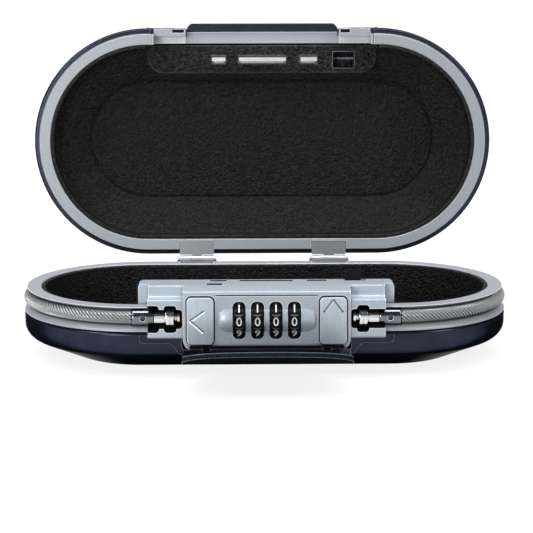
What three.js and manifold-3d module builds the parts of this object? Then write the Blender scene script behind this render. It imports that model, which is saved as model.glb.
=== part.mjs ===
// A portable pill-shaped safe, lid open, with its cable locked round it.
// Millimetres, +Z up. The origin is the middle of the flat bottom, the lock is at -Y and the hinge at +Y.
// Inside the model heights are measured from the cable's plane, half way up the closed safe.
import * as THREE from 'three';
import { mergeVertices } from 'three/addons/utils/BufferGeometryUtils.js';
import Module from 'manifold-3d';

// Closed body
const BODY_LENGTH = 240;
const BODY_DEPTH = 119;
const BODY_HEIGHT = 59;
const CORNER_RADIUS = 7.6;
const CROWN_SLOPE = THREE.MathUtils.degToRad(23.2);
const FLAT_INSET = 27.5;
const SHELL_WALL = 2.6;
const FIT_GAP = 0.3;
const RUN_GAP = 0.6;

// Facets of the pill's ends, of its outer and inner corners, and of round pieces
const END_STEPS = 14;
const CORNER_STEPS = 4;
const INNER_CORNER_STEPS = 2;
const SMALL_SIDES = 12;
const ROUND_SIDES = 16;
const LARGE_SIDES = 24;
const SCREW_SIDES = 8;
const ARC_SEGMENTS = 4;

// How far a cutting block reaches past what it cuts, outside the safe and within it
const CUT_MARGIN = 20;
const OVERCUT = 1;

// Points closer than this are one point
const MERGE_DISTANCE = 1e-4;

// Rims between the shells, and the cable's groove
const SEAM = 5.3;
const RIM_BOTTOM = -6.7;
const RIM_WIDTH = 8.4;
const LID_RIM_THICKNESS = 1.8;
const RIM_LIP_INSET = 1.3;
const RIM_TONGUE_DEPTH = 2.8;
const RIM_TONGUE_THICKNESS = 1.5;
const RIM_TAPER = 2.2;
const LID_RIM_SETBACK = 0.1;
const LID_RIM_EDGE = 0.3;
const CABLE_DIAMETER = 6.8;
const CABLE_INSET = 2.9;
const GROOVE_CLEARANCE = 0.35;
const GROOVE_STEPS = 6;
const CABLE_STEPS = 60;
const CABLE_SIDES = 8;

// Foam liners
const LINER_WALL = 2.6;
const LINER_LIP_WIDTH = 1.7;
const LINER_LIP_DROP = 0.4;
const LINER_WALL_FOOT = 15.4;
const LINER_DRAFT = 0.4;
const LINER_KINK_INSET = 1;
const BULKHEAD_THICKNESS = 2.2;
const BULKHEAD_FOOT = 6;
const BULKHEAD_DROP = 3;
const LOCK_FLOOR_GAP = 1.4;

// Cable ends
const FERRULE_DIAMETER = 8;
const FERRULE_LENGTH = 10;
const FERRULE_PROUD = 7.4;
const PLUG_SHAFT_DIAMETER = 7.2;
const PLUG_COLLAR_DIAMETER = 10.5;
const PLUG_COLLAR_WIDTH = 4.3;
const PLUG_COLLAR_INSET = 4;
const PLUG_TIP_INSET = 0.8;
const PLUG_TIP_LENGTH = 1.9;
const PLUG_TIP_BEVEL = 0.6;
const PLUG_NECK_DEPTH = 1;
const PLUG_EDGE = 0.4;
const PLUG_FLUTE_WIDTH = 0.9;
const PLUG_FLUTE_DEPTH = 0.5;
const PLUG_FLUTE_HEIGHTS = [-1.7, 0.6];
const FERRULE_BEVEL = 0.5;
const FERRULE_SCREW_DIAMETER = 2.6;

// Lock case
const CASE_HALF_WIDTH = 39.6;
const WING_HALF_WIDTH = 56.2;
const FLANGE_LEDGE = 4.8;
const PANEL_PROUD = 3.5;
const WING_PROUD = 2.5;
const CASE_TOP = 14.8;
const PANEL_TOP = 13.5;
const PANEL_BOTTOM = -15.2;
const WING_HALF_HEIGHT = 9.3;
const CASE_LEDGE_INSET = 4.9;
const CASE_REAR_INSET = 19;
const PANEL_CORNER = 3;
const FLANGE_INSET = 9.1;
const FLANGE_CORNERS = [1, 1, 2, 2];
const PANEL_WALL = 2;
const CASE_WALL = 2.2;
const CASE_EDGE_RADIUS = 1;
const WING_CAVITY_INSET = 10.3;
const WING_CAVITY_REACH = 0.8;
const BACK_PLATE_THICKNESS = 1.2;
const BACK_PLATE_MARGIN = 0.5;
const NOTCH_DIAMETER = 9.3;
const POCKET_DIAMETER = 13.1;
const POCKET_WIDTH = 6;
const POCKET_LEAD = 1;
const MOUTH_POCKET_WIDTH = 5.3;
const SCREW_INSET = 2;
const SCREW_HEIGHTS = [-5.6, 11];
const SCREW_DIAMETER = 2;
const SCREW_HEAD_DIAMETER = 3.4;
const SCREW_HEAD_HEIGHT = 1.2;
const SCREW_LENGTH = 6;

// Dials
const DIAL_COUNT = 4;
const DIAL_PITCH = 8.7;
const DIAL_DIAMETER = 20.8;
const DIAL_WIDTH = 5.6;
const DIAL_GRIP_DEPTH = 0.5;
const DIAL_FACES = 10;
const DIAL_FACE_STEPS = 3;
const DIAL_GRIP_SHARPNESS = 3;
const HUB_DIAMETER = 11;
const HUB_GATE_DEPTH = 1.4;
const HUB_GATE_WIDTH = 3;
const DIAL_PROUD = 3.2;
const DIAL_HEIGHT = -0.5;
const SHAFT_DIAMETER = 4;
const SHAFT_HEAD_THICKNESS = 1.2;
const SHAFT_HEAD_STEP = 1;
const SLOT_WIDTH = 6.3;
const SLOT_HEIGHT = 18.2;
const SLOT_CORNER = 2.7;
const BARREL_DIAMETER = 18.2;
const BARREL_HALF_LENGTH = 23.6;
const BARREL_END = 6;
const BARREL_END_DROP = 0.5;
const BARREL_END_STEPS = 5;
const WEB_THICKNESS = 2.8;
const WEB_GAP = 0.4;
const WEB_HALF_HEIGHT = 8;
const WEB_REAR_GAP = 2.5;

// Sliding buttons
const BUTTON_WIDTH = 13;
const BUTTON_HEIGHT = 24.2;
const BUTTON_THICKNESS = 1.6;
const BUTTON_INSET = 1;
const BUTTON_CENTRE_HEIGHT = 0.2;
const BUTTON_CORNER = 2.2;
const BUTTON_EDGE = 0.4;
const STEM_WIDTH = 5;
const STEM_HEIGHT = 6;
const STEM_SINK = 0.2;
const BUTTON_FOOT_LEDGE = 1.5;
const BUTTON_FOOT_THICKNESS = 1.8;
const OPEN_TRAVEL = 3;
const CABLE_TRAVEL = 2;

// Latch, strike and change lever
const STRIKE_THICKNESS = 1.8;
const STRIKE_INSET = 16;
const STRIKE_TABS = [[-26.3, -19.5], [-12.2, 12.2], [20, 28.5]];
const STRIKE_TAB_BOTTOM = 6;
const STRIKE_STRIP_WIDTH = 5.4;
const STRIKE_STRIP_OVERHANG = 3;
const STRIKE_DEPTH = 2;
const STRIKE_SWING = 1;
const STRIKE_NOTCH = [8.2, 11.6];
const STRIKE_NOTCH_CLEARANCE = 1;
const BOLT_TRAVEL = 2.6;
const BOLT_BAR_HEIGHT = 4;
const BOLT_BAR_BOTTOM = -1;
const BOLT_BAR_OVERHANGS = [4, 5.5];
const BOLT_POST_WIDTH = 3.4;
const BOLT_NOSE = 2;
const BOLT_NOSE_GAP = 0.5;
const GUIDE_WIDTH = 4;
const GUIDE_THICKNESS = 1.2;
const GUIDE_LIP = 2;
const GUIDE_INSET = 1.4;
const SPRING_DIAMETER = 3.2;
const SPRING_LENGTH = 7;
const SPRING_WIRE = 0.6;
const SPRING_WIRE_SIDES = 5;
const SPRING_TURNS = 4;
const SPRING_TURN_STEPS = 8;
const SPRING_SEAT_GAP = 0.1;
const SPRING_POST_THICKNESS = 1.5;
const SPRING_POST_HALF = 2;
const LEVER_X = 41.6;
const LEVER_WIDTH = 7.6;
const LEVER_TOP = 20.4;
const LEVER_TRAVEL = 2.5;
const LEVER_DEPTH = [-0.3, 1.7];
const LEVER_CORNER = 1.8;
const LEVER_FOOT = 2;
const LEVER_FOOT_THICKNESS = 3;
const LEVER_FOOT_DEPTH = 0.8;
const LEVER_NOTCH_FRONT = 3.4;
const LEVER_NOTCH_REAR = 2.4;

// Latch block and bezel of the lid
const BLOCK_HALF_LENGTH = 60;
const BLOCK_FACE = 15.4;
const BLOCK_REAR_INSET = 23.5;
const BLOCK_CORNER = 8;
const BEZEL_WALL = 1.2;
const BEZEL_LIP = 0.6;
const BEZEL_SETBACK = 0.2;
const BOSS_PROUD = 2.2;
const BOSS_THICKNESS = 4.1;
const BOSS_BOTTOM = 16;
const BOSS_SHOULDER = 19;
const BOSS_TOP = 21.6;
const SNAP_WINDOW_WIDTH = 7;
const SNAP_WINDOW_HEIGHT = 2.4;
const SNAP_WINDOW_X = 44.6;
const SNAP_WINDOW_LIFT = 1;

// Hinges
const HINGE_OUTSET = 2.7;
const KNUCKLE_DIAMETER = 4.6;
const HINGE_PIN_DIAMETER = 2;
const KNUCKLE_WIDTH = 6;
const KNUCKLE_COUNT = 3;
const HINGE_X = 35;
const HINGE_PIN_OVERHANG = 0.8;
const HINGE_PIN_HEAD = [3.6, 0.6];
const LEAF_THICKNESS = 1.1;
const LEAF_REACH = 5.4;
const LID_OPEN = THREE.MathUtils.degToRad(92);

// Front cover
const COVER_SIDE_INSET = 0.1;
const COVER_WALL = 1.4;
const COVER_FACE_OUTSET = 10.1;
const COVER_TOP_OUTSET = 6.3;
const COVER_TOP = 21.3;
const COVER_CREASE_HIGH = 8.7;
const COVER_CREASE_LOW = -7.3;
const COVER_BOW = 1;
const COVER_CORNER = [16, 7.5];
const COVER_LOW_CORNER = 3;
const COVER_RIM_WIDTH = 2.6;
const COVER_RIM_HEIGHT = 1;
const COVER_RIM_CORNER = [13.4, 5];
const COVER_AXIS_OUTSET = 5.65;
const COVER_AXIS_HEIGHT = -14.1;
const COVER_BARREL_DIAMETER = 3.6;
const COVER_BARREL_FLAT = 0.6;
const COVER_PIN_DIAMETER = 1.6;
const COVER_BARREL_INSET = 3;
const COVER_PIN_INSET = 4;
const LUG_WIDTH = 3.2;
const LUG_X = 28.5;
const COVER_OPEN = THREE.MathUtils.degToRad(83);
const COVER_STEPS = 8;

const HALF_DEPTH = BODY_DEPTH / 2;
const HALF_HEIGHT = BODY_HEIGHT / 2;
const END_CENTRE_X = BODY_LENGTH / 2 - HALF_DEPTH;
const FRONT = -HALF_DEPTH;
const HINGE_Y = HALF_DEPTH + HINGE_OUTSET;
const AXIS_Y = FRONT - PANEL_PROUD - DIAL_PROUD + DIAL_DIAMETER / 2;
const PANEL_Y = FRONT - PANEL_PROUD;
const WING_Y = FRONT - WING_PROUD;
const CASE_REAR_Y = FRONT + CASE_REAR_INSET;
const LEDGE_Y = FRONT + CASE_LEDGE_INSET;
const CABLE_Y = FRONT + CABLE_INSET;
const STRIKE_Y = FRONT + STRIKE_INSET;
const BACK_PLATE_Y = CASE_REAR_Y + FIT_GAP;
const COVER_AXIS_Y = FRONT - COVER_AXIS_OUTSET;
const GROOVE_RADIUS = CABLE_DIAMETER / 2 + GROOVE_CLEARANCE;
const SHELL_EDGE = SEAM + LID_RIM_THICKNESS + FIT_GAP;
const BUTTON_X = CASE_HALF_WIDTH - BUTTON_INSET - BUTTON_WIDTH / 2;
const COVER_LENGTH = 2 * (CASE_HALF_WIDTH - COVER_SIDE_INSET);
const OPEN_FOOT = [STEM_WIDTH + 2 * BUTTON_FOOT_LEDGE, STEM_HEIGHT];
const CABLE_FOOT = [STEM_WIDTH, STEM_HEIGHT + 2 * BUTTON_FOOT_LEDGE];
const LEVER_Y = LEVER_DEPTH.map((depth) => STRIKE_Y + depth);
const FLANGE_HALF_WIDTH = WING_HALF_WIDTH + FLANGE_LEDGE;
const FERRULE_END_X = WING_HALF_WIDTH + FERRULE_PROUD;
const PLUG_COLLAR_X = CASE_HALF_WIDTH + PLUG_COLLAR_INSET;
const PLUG_TIP_X = CASE_HALF_WIDTH + PLUG_TIP_INSET;
const SCREW_X = FLANGE_HALF_WIDTH - SCREW_INSET;
const SCREW_PLACES = [-1, 1].flatMap((side) => SCREW_HEIGHTS.map((z) => [side * SCREW_X, z]));
const HINGE_PLACES = [-HINGE_X, HINGE_X];
const HINGE_HALF = (KNUCKLE_COUNT * KNUCKLE_WIDTH) / 2;

const wasm = await Module();
wasm.setup();

// Boolean helpers: three.js geometries in, manifold solids between, and a geometry out again
function solid(geometry) {
  const plain = geometry.clone();
  plain.deleteAttribute('normal');
  plain.deleteAttribute('uv');
  const merged = mergeVertices(plain, MERGE_DISTANCE);
  return new wasm.Manifold(new wasm.Mesh({
    numProp: 3,
    vertProperties: new Float32Array(merged.attributes.position.array),
    triVerts: new Uint32Array(merged.index.array),
  }));
}

function geometryOf(body) {
  const mesh = body.getMesh();
  const geometry = new THREE.BufferGeometry();
  geometry.setAttribute('position', new THREE.BufferAttribute(mesh.vertProperties, 3));
  geometry.setIndex(new THREE.BufferAttribute(mesh.triVerts, 1));
  return geometry;
}

const join = (first, ...rest) => rest.reduce((body, next) => body.add(next), first);
const cut = (first, ...rest) => rest.reduce((body, next) => body.subtract(next), first);
const grow = ([low, high], by) => [low - by, high + by];
const alike = (corner) => [corner, corner, corner, corner];

function box(x, y, z) {
  const geometry = new THREE.BoxGeometry(x[1] - x[0], y[1] - y[0], z[1] - z[0]);
  return solid(geometry.translate((x[0] + x[1]) / 2, (y[0] + y[1]) / 2, (z[0] + z[1]) / 2));
}

// A cylinder along X between two stations
function barX(x, y, z, diameter, segments = ROUND_SIDES) {
  const geometry = new THREE.CylinderGeometry(diameter / 2, diameter / 2, x[1] - x[0], segments);
  return solid(geometry.rotateZ(Math.PI / 2).translate((x[0] + x[1]) / 2, y, z));
}

// A cylinder along Y between two stations
function barY(x, y, z, diameter, segments = SMALL_SIDES) {
  const geometry = new THREE.CylinderGeometry(diameter / 2, diameter / 2, y[1] - y[0], segments);
  return solid(geometry.translate(x, (y[0] + y[1]) / 2, z));
}

const extrusion = (shape, depth) => new THREE.ExtrudeGeometry(
  shape, { depth, bevelEnabled: false, curveSegments: ARC_SEGMENTS });

// An outline drawn in (y, z), extruded along X
function extrudeX(outline, x) {
  const drawn = outline instanceof THREE.Shape;
  const shape = drawn ? outline : new THREE.Shape(outline.map(([a, b]) => new THREE.Vector2(a, b)));
  const geometry = extrusion(shape, x[1] - x[0]);
  const turn = new THREE.Matrix4().makeBasis(
    new THREE.Vector3(0, 1, 0), new THREE.Vector3(0, 0, 1), new THREE.Vector3(1, 0, 0));
  return solid(geometry.applyMatrix4(turn).translate(x[0], 0, 0));
}

// An outline drawn in (x, z), extruded along Y
function extrudeY(shape, y) {
  const geometry = extrusion(shape, y[1] - y[0]);
  const turn = new THREE.Matrix4().makeBasis(
    new THREE.Vector3(1, 0, 0), new THREE.Vector3(0, 0, 1), new THREE.Vector3(0, -1, 0));
  return solid(geometry.applyMatrix4(turn).translate(0, y[1], 0));
}

// An outline drawn in (x, y), extruded along Z
function extrudeZ(shape, z) {
  const geometry = extrusion(shape, z[1] - z[0]);
  return solid(geometry.translate(0, 0, z[0]));
}

// A rectangle whose four corners, from low left anticlockwise, are rounded by [rx, ry]
function roundedRectangle(x, y, corners) {
  const [lowLeft, lowRight, highRight, highLeft] = corners.map((c) => (Array.isArray(c) ? c : [c, c]));
  const shape = new THREE.Shape();
  const quarter = Math.PI / 2;
  const arc = (cx, cy, [rx, ry], start) => {
    if (rx > 0) shape.absellipse(cx, cy, rx, ry, start, start + quarter, false, 0);
    else shape.lineTo(cx, cy);
  };
  shape.moveTo(x[0] + lowLeft[0], y[0]);
  arc(x[1] - lowRight[0], y[0] + lowRight[1], lowRight, -quarter);
  arc(x[1] - highRight[0], y[1] - highRight[1], highRight, 0);
  arc(x[0] + highLeft[0], y[1] - highLeft[1], highLeft, quarter);
  arc(x[0] + lowLeft[0], y[0] + lowLeft[1], lowLeft, 2 * quarter);
  return shape;
}

// One ring of points round the pill's plan, drawn in by an inset, anticlockwise seen from above
function pillRing([inset, height]) {
  const radius = HALF_DEPTH - inset;
  const ring = [];
  for (const side of [1, -1]) {
    for (let step = 0; step <= END_STEPS; step += 1) {
      const angle = Math.PI * (step / END_STEPS - side / 2);
      ring.push([side * END_CENTRE_X + radius * Math.cos(angle), radius * Math.sin(angle), height]);
    }
  }
  return ring;
}

// A section of [inset, height] points swept round the pill. Its outer side runs upward.
// An open section is capped flat on its first and last ring, and a closed one joins up.
function pillSweep(section, closed) {
  const rings = section.map(pillRing);
  const count = rings[0].length;
  const index = [];
  const spans = closed ? rings.length : rings.length - 1;
  for (let ring = 0; ring < spans; ring += 1) {
    const low = ring * count;
    const high = ((ring + 1) % rings.length) * count;
    for (let i = 0; i < count; i += 1) {
      const next = (i + 1) % count;
      index.push(low + i, low + next, high + next, low + i, high + next, high + i);
    }
  }
  if (!closed) {
    const outline = rings[0].map(([x, y]) => new THREE.Vector2(x, y));
    const top = (rings.length - 1) * count;
    for (const [a, b, c] of THREE.ShapeUtils.triangulateShape(outline, [])) {
      index.push(a, c, b, top + a, top + b, top + c);
    }
  }
  const geometry = new THREE.BufferGeometry();
  geometry.setAttribute('position', new THREE.Float32BufferAttribute(rings.flat(2), 3));
  geometry.setIndex(index);
  return solid(geometry);
}

// The shell's outer profile moved in by an offset: wall, round corner and sloped crown, out to the flat
function crown(offset, start) {
  const radius = CORNER_RADIUS - offset;
  const steps = offset > 0 ? INNER_CORNER_STEPS : CORNER_STEPS;
  const drop = (FLAT_INSET - CORNER_RADIUS * (1 - Math.sin(CROWN_SLOPE))) * Math.tan(CROWN_SLOPE);
  const centre = HALF_HEIGHT - drop - CORNER_RADIUS * Math.cos(CROWN_SLOPE);
  const points = [[offset, start]];
  for (let step = 0; step <= steps; step += 1) {
    const angle = (Math.PI / 2 - CROWN_SLOPE) * (step / steps);
    points.push([CORNER_RADIUS - radius * Math.cos(angle), centre + radius * Math.sin(angle)]);
  }
  points.push([FLAT_INSET + offset * Math.tan(CROWN_SLOPE / 2), HALF_HEIGHT - offset]);
  return points;
}

const below = (points) => points.map(([inset, height]) => [inset, -height]);

// The solid inside the shell at an offset from its outside, for trimming what lies in the lid
const lidCore = (offset) => pillSweep([[offset, 0], ...crown(offset, 1)], false);

const materials = {
  shell: new THREE.MeshStandardMaterial({ color: 0x14161f, roughness: 0.32, metalness: 0.1 }),
  rim: new THREE.MeshStandardMaterial({ color: 0xb4b9c0, roughness: 0.38, metalness: 0.7 }),
  zinc: new THREE.MeshStandardMaterial({ color: 0xaebbc6, roughness: 0.36, metalness: 0.8 }),
  steel: new THREE.MeshStandardMaterial({ color: 0xb9bfc6, roughness: 0.3, metalness: 0.9 }),
  chrome: new THREE.MeshStandardMaterial({ color: 0xd5d8dc, roughness: 0.12, metalness: 1 }),
  foam: new THREE.MeshStandardMaterial({ color: 0x171718, roughness: 0.95, metalness: 0 }),
  black: new THREE.MeshStandardMaterial({ color: 0x121315, roughness: 0.5, metalness: 0 }),
  cover: new THREE.MeshStandardMaterial({ color: 0x1d2129, roughness: 0.6, metalness: 0 }),
  cable: new THREE.MeshStandardMaterial({ color: 0xb8bbbd, roughness: 0.25, metalness: 0.5 }),
};

function piece(name, body, material) {
  const mesh = new THREE.Mesh(geometryOf(body), materials[material]);
  mesh.name = name;
  return mesh;
}

// Shells
const wingCut = WING_HALF_WIDTH + RUN_GAP;
const bezelEnd = wingCut + BEZEL_WALL;
const caseCut = CASE_HALF_WIDTH + RUN_GAP;
const stripEnd = caseCut + BEZEL_WALL;

function makeBaseShell() {
  const edge = -(RIM_BOTTOM - FIT_GAP);
  const outside = crown(0, edge).reverse();
  const inside = crown(SHELL_WALL, edge);
  const cup = pillSweep(below([...outside, ...inside]), false);
  const depth = [FRONT - CUT_MARGIN, FRONT + RIM_WIDTH];
  return cut(
    cup,
    box([-wingCut, wingCut], depth, [-WING_HALF_HEIGHT - FIT_GAP, CUT_MARGIN]),
    box([-caseCut, caseCut], depth, [PANEL_BOTTOM - FIT_GAP, CUT_MARGIN]),
  );
}

function makeLidShell() {
  const inside = crown(SHELL_WALL, SHELL_EDGE).reverse();
  const outside = crown(0, SHELL_EDGE);
  const cup = pillSweep([...inside, ...outside], false);
  const wallDepth = [FRONT - CUT_MARGIN, FRONT + CASE_LEDGE_INSET];
  const lipTop = WING_HALF_HEIGHT + FIT_GAP + BEZEL_LIP + FIT_GAP;
  const bossEdge = BOSS_BOTTOM + BEZEL_WALL + FIT_GAP;
  const opened = cut(
    cup,
    box([-bezelEnd - FIT_GAP, bezelEnd + FIT_GAP], wallDepth, [0, lipTop]),
    box([-stripEnd - FIT_GAP, stripEnd + FIT_GAP], [FRONT - CUT_MARGIN, FRONT + RIM_WIDTH], [0, bossEdge]),
    ...[-1, 1].map((side) => box(
      [side * SNAP_WINDOW_X - SNAP_WINDOW_WIDTH / 2, side * SNAP_WINDOW_X + SNAP_WINDOW_WIDTH / 2],
      wallDepth, [lipTop + SNAP_WINDOW_LIFT, lipTop + SNAP_WINDOW_LIFT + SNAP_WINDOW_HEIGHT])),
  );
  const boss = extrudeX([
    [FRONT - BOSS_PROUD, BOSS_BOTTOM],
    [FRONT - BOSS_PROUD + BOSS_THICKNESS, BOSS_BOTTOM],
    [FRONT - BOSS_PROUD + BOSS_THICKNESS, bossEdge],
    [FRONT + BOSS_THICKNESS, BOSS_SHOULDER],
    [FRONT + 2 * BOSS_THICKNESS, BOSS_TOP - SHELL_WALL / 2],
    [FRONT + BOSS_THICKNESS / 2, BOSS_TOP - SHELL_WALL / 2],
    [FRONT - BOSS_PROUD, BOSS_SHOULDER],
  ], [-CASE_HALF_WIDTH, CASE_HALF_WIDTH]);
  return join(opened, boss);
}

// Rims
function makeBaseRim() {
  const groove = [];
  for (let step = 0; step <= GROOVE_STEPS; step += 1) {
    const angle = Math.PI * (step / GROOVE_STEPS - 1 / 2);
    groove.push([CABLE_INSET + GROOVE_RADIUS * Math.cos(angle), GROOVE_RADIUS * Math.sin(angle)]);
  }
  const top = SEAM - FIT_GAP / 2;
  const tongue = SHELL_WALL + FIT_GAP;
  const waist = tongue + RIM_TONGUE_THICKNESS;
  const ring = pillSweep([
    [0, RIM_BOTTOM],
    ...groove,
    [RIM_LIP_INSET, top],
    [RIM_WIDTH, top],
    [RIM_WIDTH, RIM_BOTTOM + RIM_TAPER],
    [RIM_WIDTH - RIM_TAPER, RIM_BOTTOM],
    [waist, RIM_BOTTOM],
    [waist, RIM_BOTTOM - RIM_TONGUE_DEPTH],
    [tongue, RIM_BOTTOM - RIM_TONGUE_DEPTH],
    [tongue, RIM_BOTTOM],
  ], true);
  const depth = [FRONT - CUT_MARGIN, FRONT + RIM_WIDTH + OVERCUT];
  const gap = WING_HALF_WIDTH + FIT_GAP;
  return cut(
    ring,
    box([-gap, gap], depth, [-CUT_MARGIN, CUT_MARGIN]),
    barX(grow([-FERRULE_END_X, FERRULE_END_X], OVERCUT), CABLE_Y, 0, FERRULE_DIAMETER + 2 * GROOVE_CLEARANCE),
    ...HINGE_PLACES.map((x) => box(
      grow([x - HINGE_HALF, x + HINGE_HALF], FIT_GAP),
      [HALF_DEPTH - RIM_LIP_INSET - LEAF_REACH - FIT_GAP, HALF_DEPTH + OVERCUT],
      [SEAM - FIT_GAP / 2 - LEAF_THICKNESS - FIT_GAP, CUT_MARGIN])),
  );
}

function makeLidRim() {
  const bottom = SEAM + FIT_GAP / 2;
  const ring = pillSweep([
    [RIM_LIP_INSET, bottom],
    [LID_RIM_SETBACK, bottom + LID_RIM_THICKNESS - LID_RIM_EDGE],
    [LID_RIM_SETBACK, SHELL_EDGE - FIT_GAP],
    [RIM_WIDTH, SHELL_EDGE - FIT_GAP],
    [RIM_WIDTH, bottom],
  ], true);
  const end = bezelEnd + FIT_GAP;
  return cut(
    ring,
    box([-end, end], [FRONT - CUT_MARGIN, FRONT + RIM_WIDTH + OVERCUT], [0, CUT_MARGIN]),
    ...HINGE_PLACES.map((x) => box(
      grow([x - HINGE_HALF, x + HINGE_HALF], FIT_GAP),
      [HALF_DEPTH - RIM_LIP_INSET - LEAF_REACH - FIT_GAP, HALF_DEPTH + OVERCUT],
      [0, SEAM + FIT_GAP / 2 + LEAF_THICKNESS + FIT_GAP])),
  );
}

// Liners
const linerOffset = SHELL_WALL + FIT_GAP;
const linerInside = linerOffset + LINER_WALL;
const linerLip = RIM_WIDTH + FIT_GAP;
const linerMouth = linerLip + LINER_LIP_WIDTH;
const blockOutline = (by) => roundedRectangle(
  grow([-BLOCK_HALF_LENGTH, BLOCK_HALF_LENGTH], by),
  grow([FRONT + FLANGE_INSET, FRONT + BLOCK_REAR_INSET], by),
  [0, 0, BLOCK_CORNER + by, BLOCK_CORNER + by]);

// A liner's inside from the foot of its wall, along the slope, to the edge of its flat
function linerSlope() {
  const [slopeTop, slopeFoot] = crown(linerInside, 0).slice(-2);
  const kink = linerMouth + LINER_KINK_INSET;
  const share = (kink - slopeTop[0]) / (slopeFoot[0] - slopeTop[0]);
  const kinkHeight = slopeTop[1] + share * (slopeFoot[1] - slopeTop[1]);
  return [[linerMouth - LINER_DRAFT, LINER_WALL_FOOT], [kink, kinkHeight], slopeFoot];
}

function makeBaseLiner() {
  const ledge = -(RIM_BOTTOM - RIM_TONGUE_DEPTH - FIT_GAP);
  const tuck = linerOffset + RIM_TONGUE_THICKNESS + FIT_GAP;
  const under = -(RIM_BOTTOM - FIT_GAP);
  const lip = SEAM - FIT_GAP / 2 - LINER_LIP_DROP;
  const outside = crown(linerOffset, ledge).reverse();
  const cup = pillSweep([
    ...below(outside),
    [tuck, -ledge],
    [tuck, -under],
    [linerLip - RIM_TAPER, -under],
    [linerLip, -under + RIM_TAPER],
    [linerLip, lip],
    [linerMouth, lip],
    ...below(linerSlope()),
  ], false);
  const behind = BACK_PLATE_Y + BACK_PLATE_THICKNESS + FIT_GAP + SCREW_HEAD_HEIGHT + RUN_GAP;
  const half = FLANGE_HALF_WIDTH + RUN_GAP;
  const floor = PANEL_BOTTOM - LOCK_FLOOR_GAP;
  const bulkhead = box(
    grow([-half, half], OVERCUT), [behind, behind + BULKHEAD_THICKNESS],
    [floor - BULKHEAD_FOOT, CASE_TOP - BULKHEAD_DROP]);
  return cut(
    join(cup, bulkhead),
    box([-half, half], [FRONT - CUT_MARGIN, behind], [floor, CUT_MARGIN]),
  );
}

function makeLidLiner() {
  const cup = pillSweep([
    ...linerSlope().reverse(),
    [linerMouth, SEAM + FIT_GAP / 2],
    [linerLip, SEAM + FIT_GAP / 2],
    [linerLip, SHELL_EDGE + FIT_GAP],
    ...crown(linerOffset, SHELL_EDGE + FIT_GAP),
  ], false);
  const half = FLANGE_HALF_WIDTH + RUN_GAP;
  const front = FRONT - CUT_MARGIN;
  const bezelRear = FRONT + RIM_WIDTH + FIT_GAP;
  return cut(
    cup,
    box([-half, half], [front, FRONT + BLOCK_REAR_INSET + FIT_GAP], [0, BLOCK_FACE - FIT_GAP]),
    box([-bezelEnd - FIT_GAP, bezelEnd + FIT_GAP], [front, bezelRear + FIT_GAP], [0, BOSS_TOP - SHELL_WALL]),
    extrudeZ(blockOutline(FIT_GAP), [0, HALF_HEIGHT]),
    leverNotch(),
  );
}

// Where the change lever's tab reaches up into the closed lid, over the lever's whole travel
function leverNotch() {
  const x = [LEVER_X - LEVER_WIDTH / 2 - RUN_GAP, LEVER_X + LEVER_WIDTH / 2 + LEVER_TRAVEL + RUN_GAP];
  const y = [STRIKE_Y - LEVER_NOTCH_FRONT, FRONT + BLOCK_REAR_INSET - LEVER_NOTCH_REAR];
  return box(x, y, [0, LEVER_TOP + RUN_GAP]);
}

// Bezel of the lid: it lines the cut-out that the lock case fills when the safe is shut
function makeBezel() {
  const lipBottom = WING_HALF_HEIGHT + FIT_GAP;
  const lipTop = lipBottom + BEZEL_LIP;
  const outer = FRONT + BEZEL_SETBACK;
  const skinOuter = FRONT + SHELL_WALL + FIT_GAP;
  const skinInner = skinOuter + BEZEL_WALL;
  const rear = FRONT + RIM_WIDTH - FIT_GAP / 2;
  const shelfTop = BLOCK_FACE + BEZEL_WALL;
  const centreTop = BOSS_BOTTOM + BEZEL_WALL;
  const core = lidCore(linerOffset);
  const sideSection = [
    [outer, lipBottom], [skinInner, lipBottom], [skinInner, BLOCK_FACE], [rear, BLOCK_FACE],
    [rear, shelfTop], [skinOuter, shelfTop], [skinOuter, lipTop], [outer, lipTop],
  ];
  const wallSection = [
    [outer, lipBottom], [skinInner, lipBottom], [skinInner, BLOCK_FACE], [rear, BLOCK_FACE],
    [rear, centreTop], [skinOuter, centreTop], [skinOuter, lipTop], [outer, lipTop],
  ];
  const endSection = [
    [outer, SEAM + FIT_GAP / 2], [rear, SEAM + FIT_GAP / 2], [rear, shelfTop], [skinOuter, shelfTop],
    [skinOuter, lipTop], [outer, lipTop],
  ];
  const under = box([-bezelEnd, bezelEnd], [FRONT, FRONT + RIM_WIDTH], [0, lipTop]);
  const trimmed = (body) => join(body.intersect(core), body.intersect(under));
  const sides = [-1, 1].flatMap((side) => {
    const span = (near, far) => (side > 0 ? [near, far] : [-far, -near]);
    return [
      trimmed(extrudeX(sideSection, span(caseCut, bezelEnd))),
      trimmed(extrudeX(wallSection, span(caseCut, stripEnd))),
      trimmed(extrudeX(endSection, span(wingCut, bezelEnd))),
    ];
  });
  const strip = box(
    [-stripEnd, stripEnd],
    [FRONT - BOSS_PROUD + BOSS_THICKNESS + FIT_GAP, rear], [BOSS_BOTTOM, centreTop]);
  return join(strip, ...sides);
}

// Latch block and strike
const strikeStrip = {
  x: [STRIKE_TABS[0][0] - STRIKE_STRIP_OVERHANG, STRIKE_TABS.at(-1)[1] + STRIKE_STRIP_OVERHANG],
  y: [STRIKE_Y - STRIKE_STRIP_WIDTH / 2, STRIKE_Y + STRIKE_STRIP_WIDTH / 2],
  z: [BLOCK_FACE + STRIKE_DEPTH, BLOCK_FACE + STRIKE_DEPTH + STRIKE_THICKNESS],
};
const strikeTabY = [STRIKE_Y - STRIKE_THICKNESS / 2, STRIKE_Y + STRIKE_THICKNESS / 2];

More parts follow.
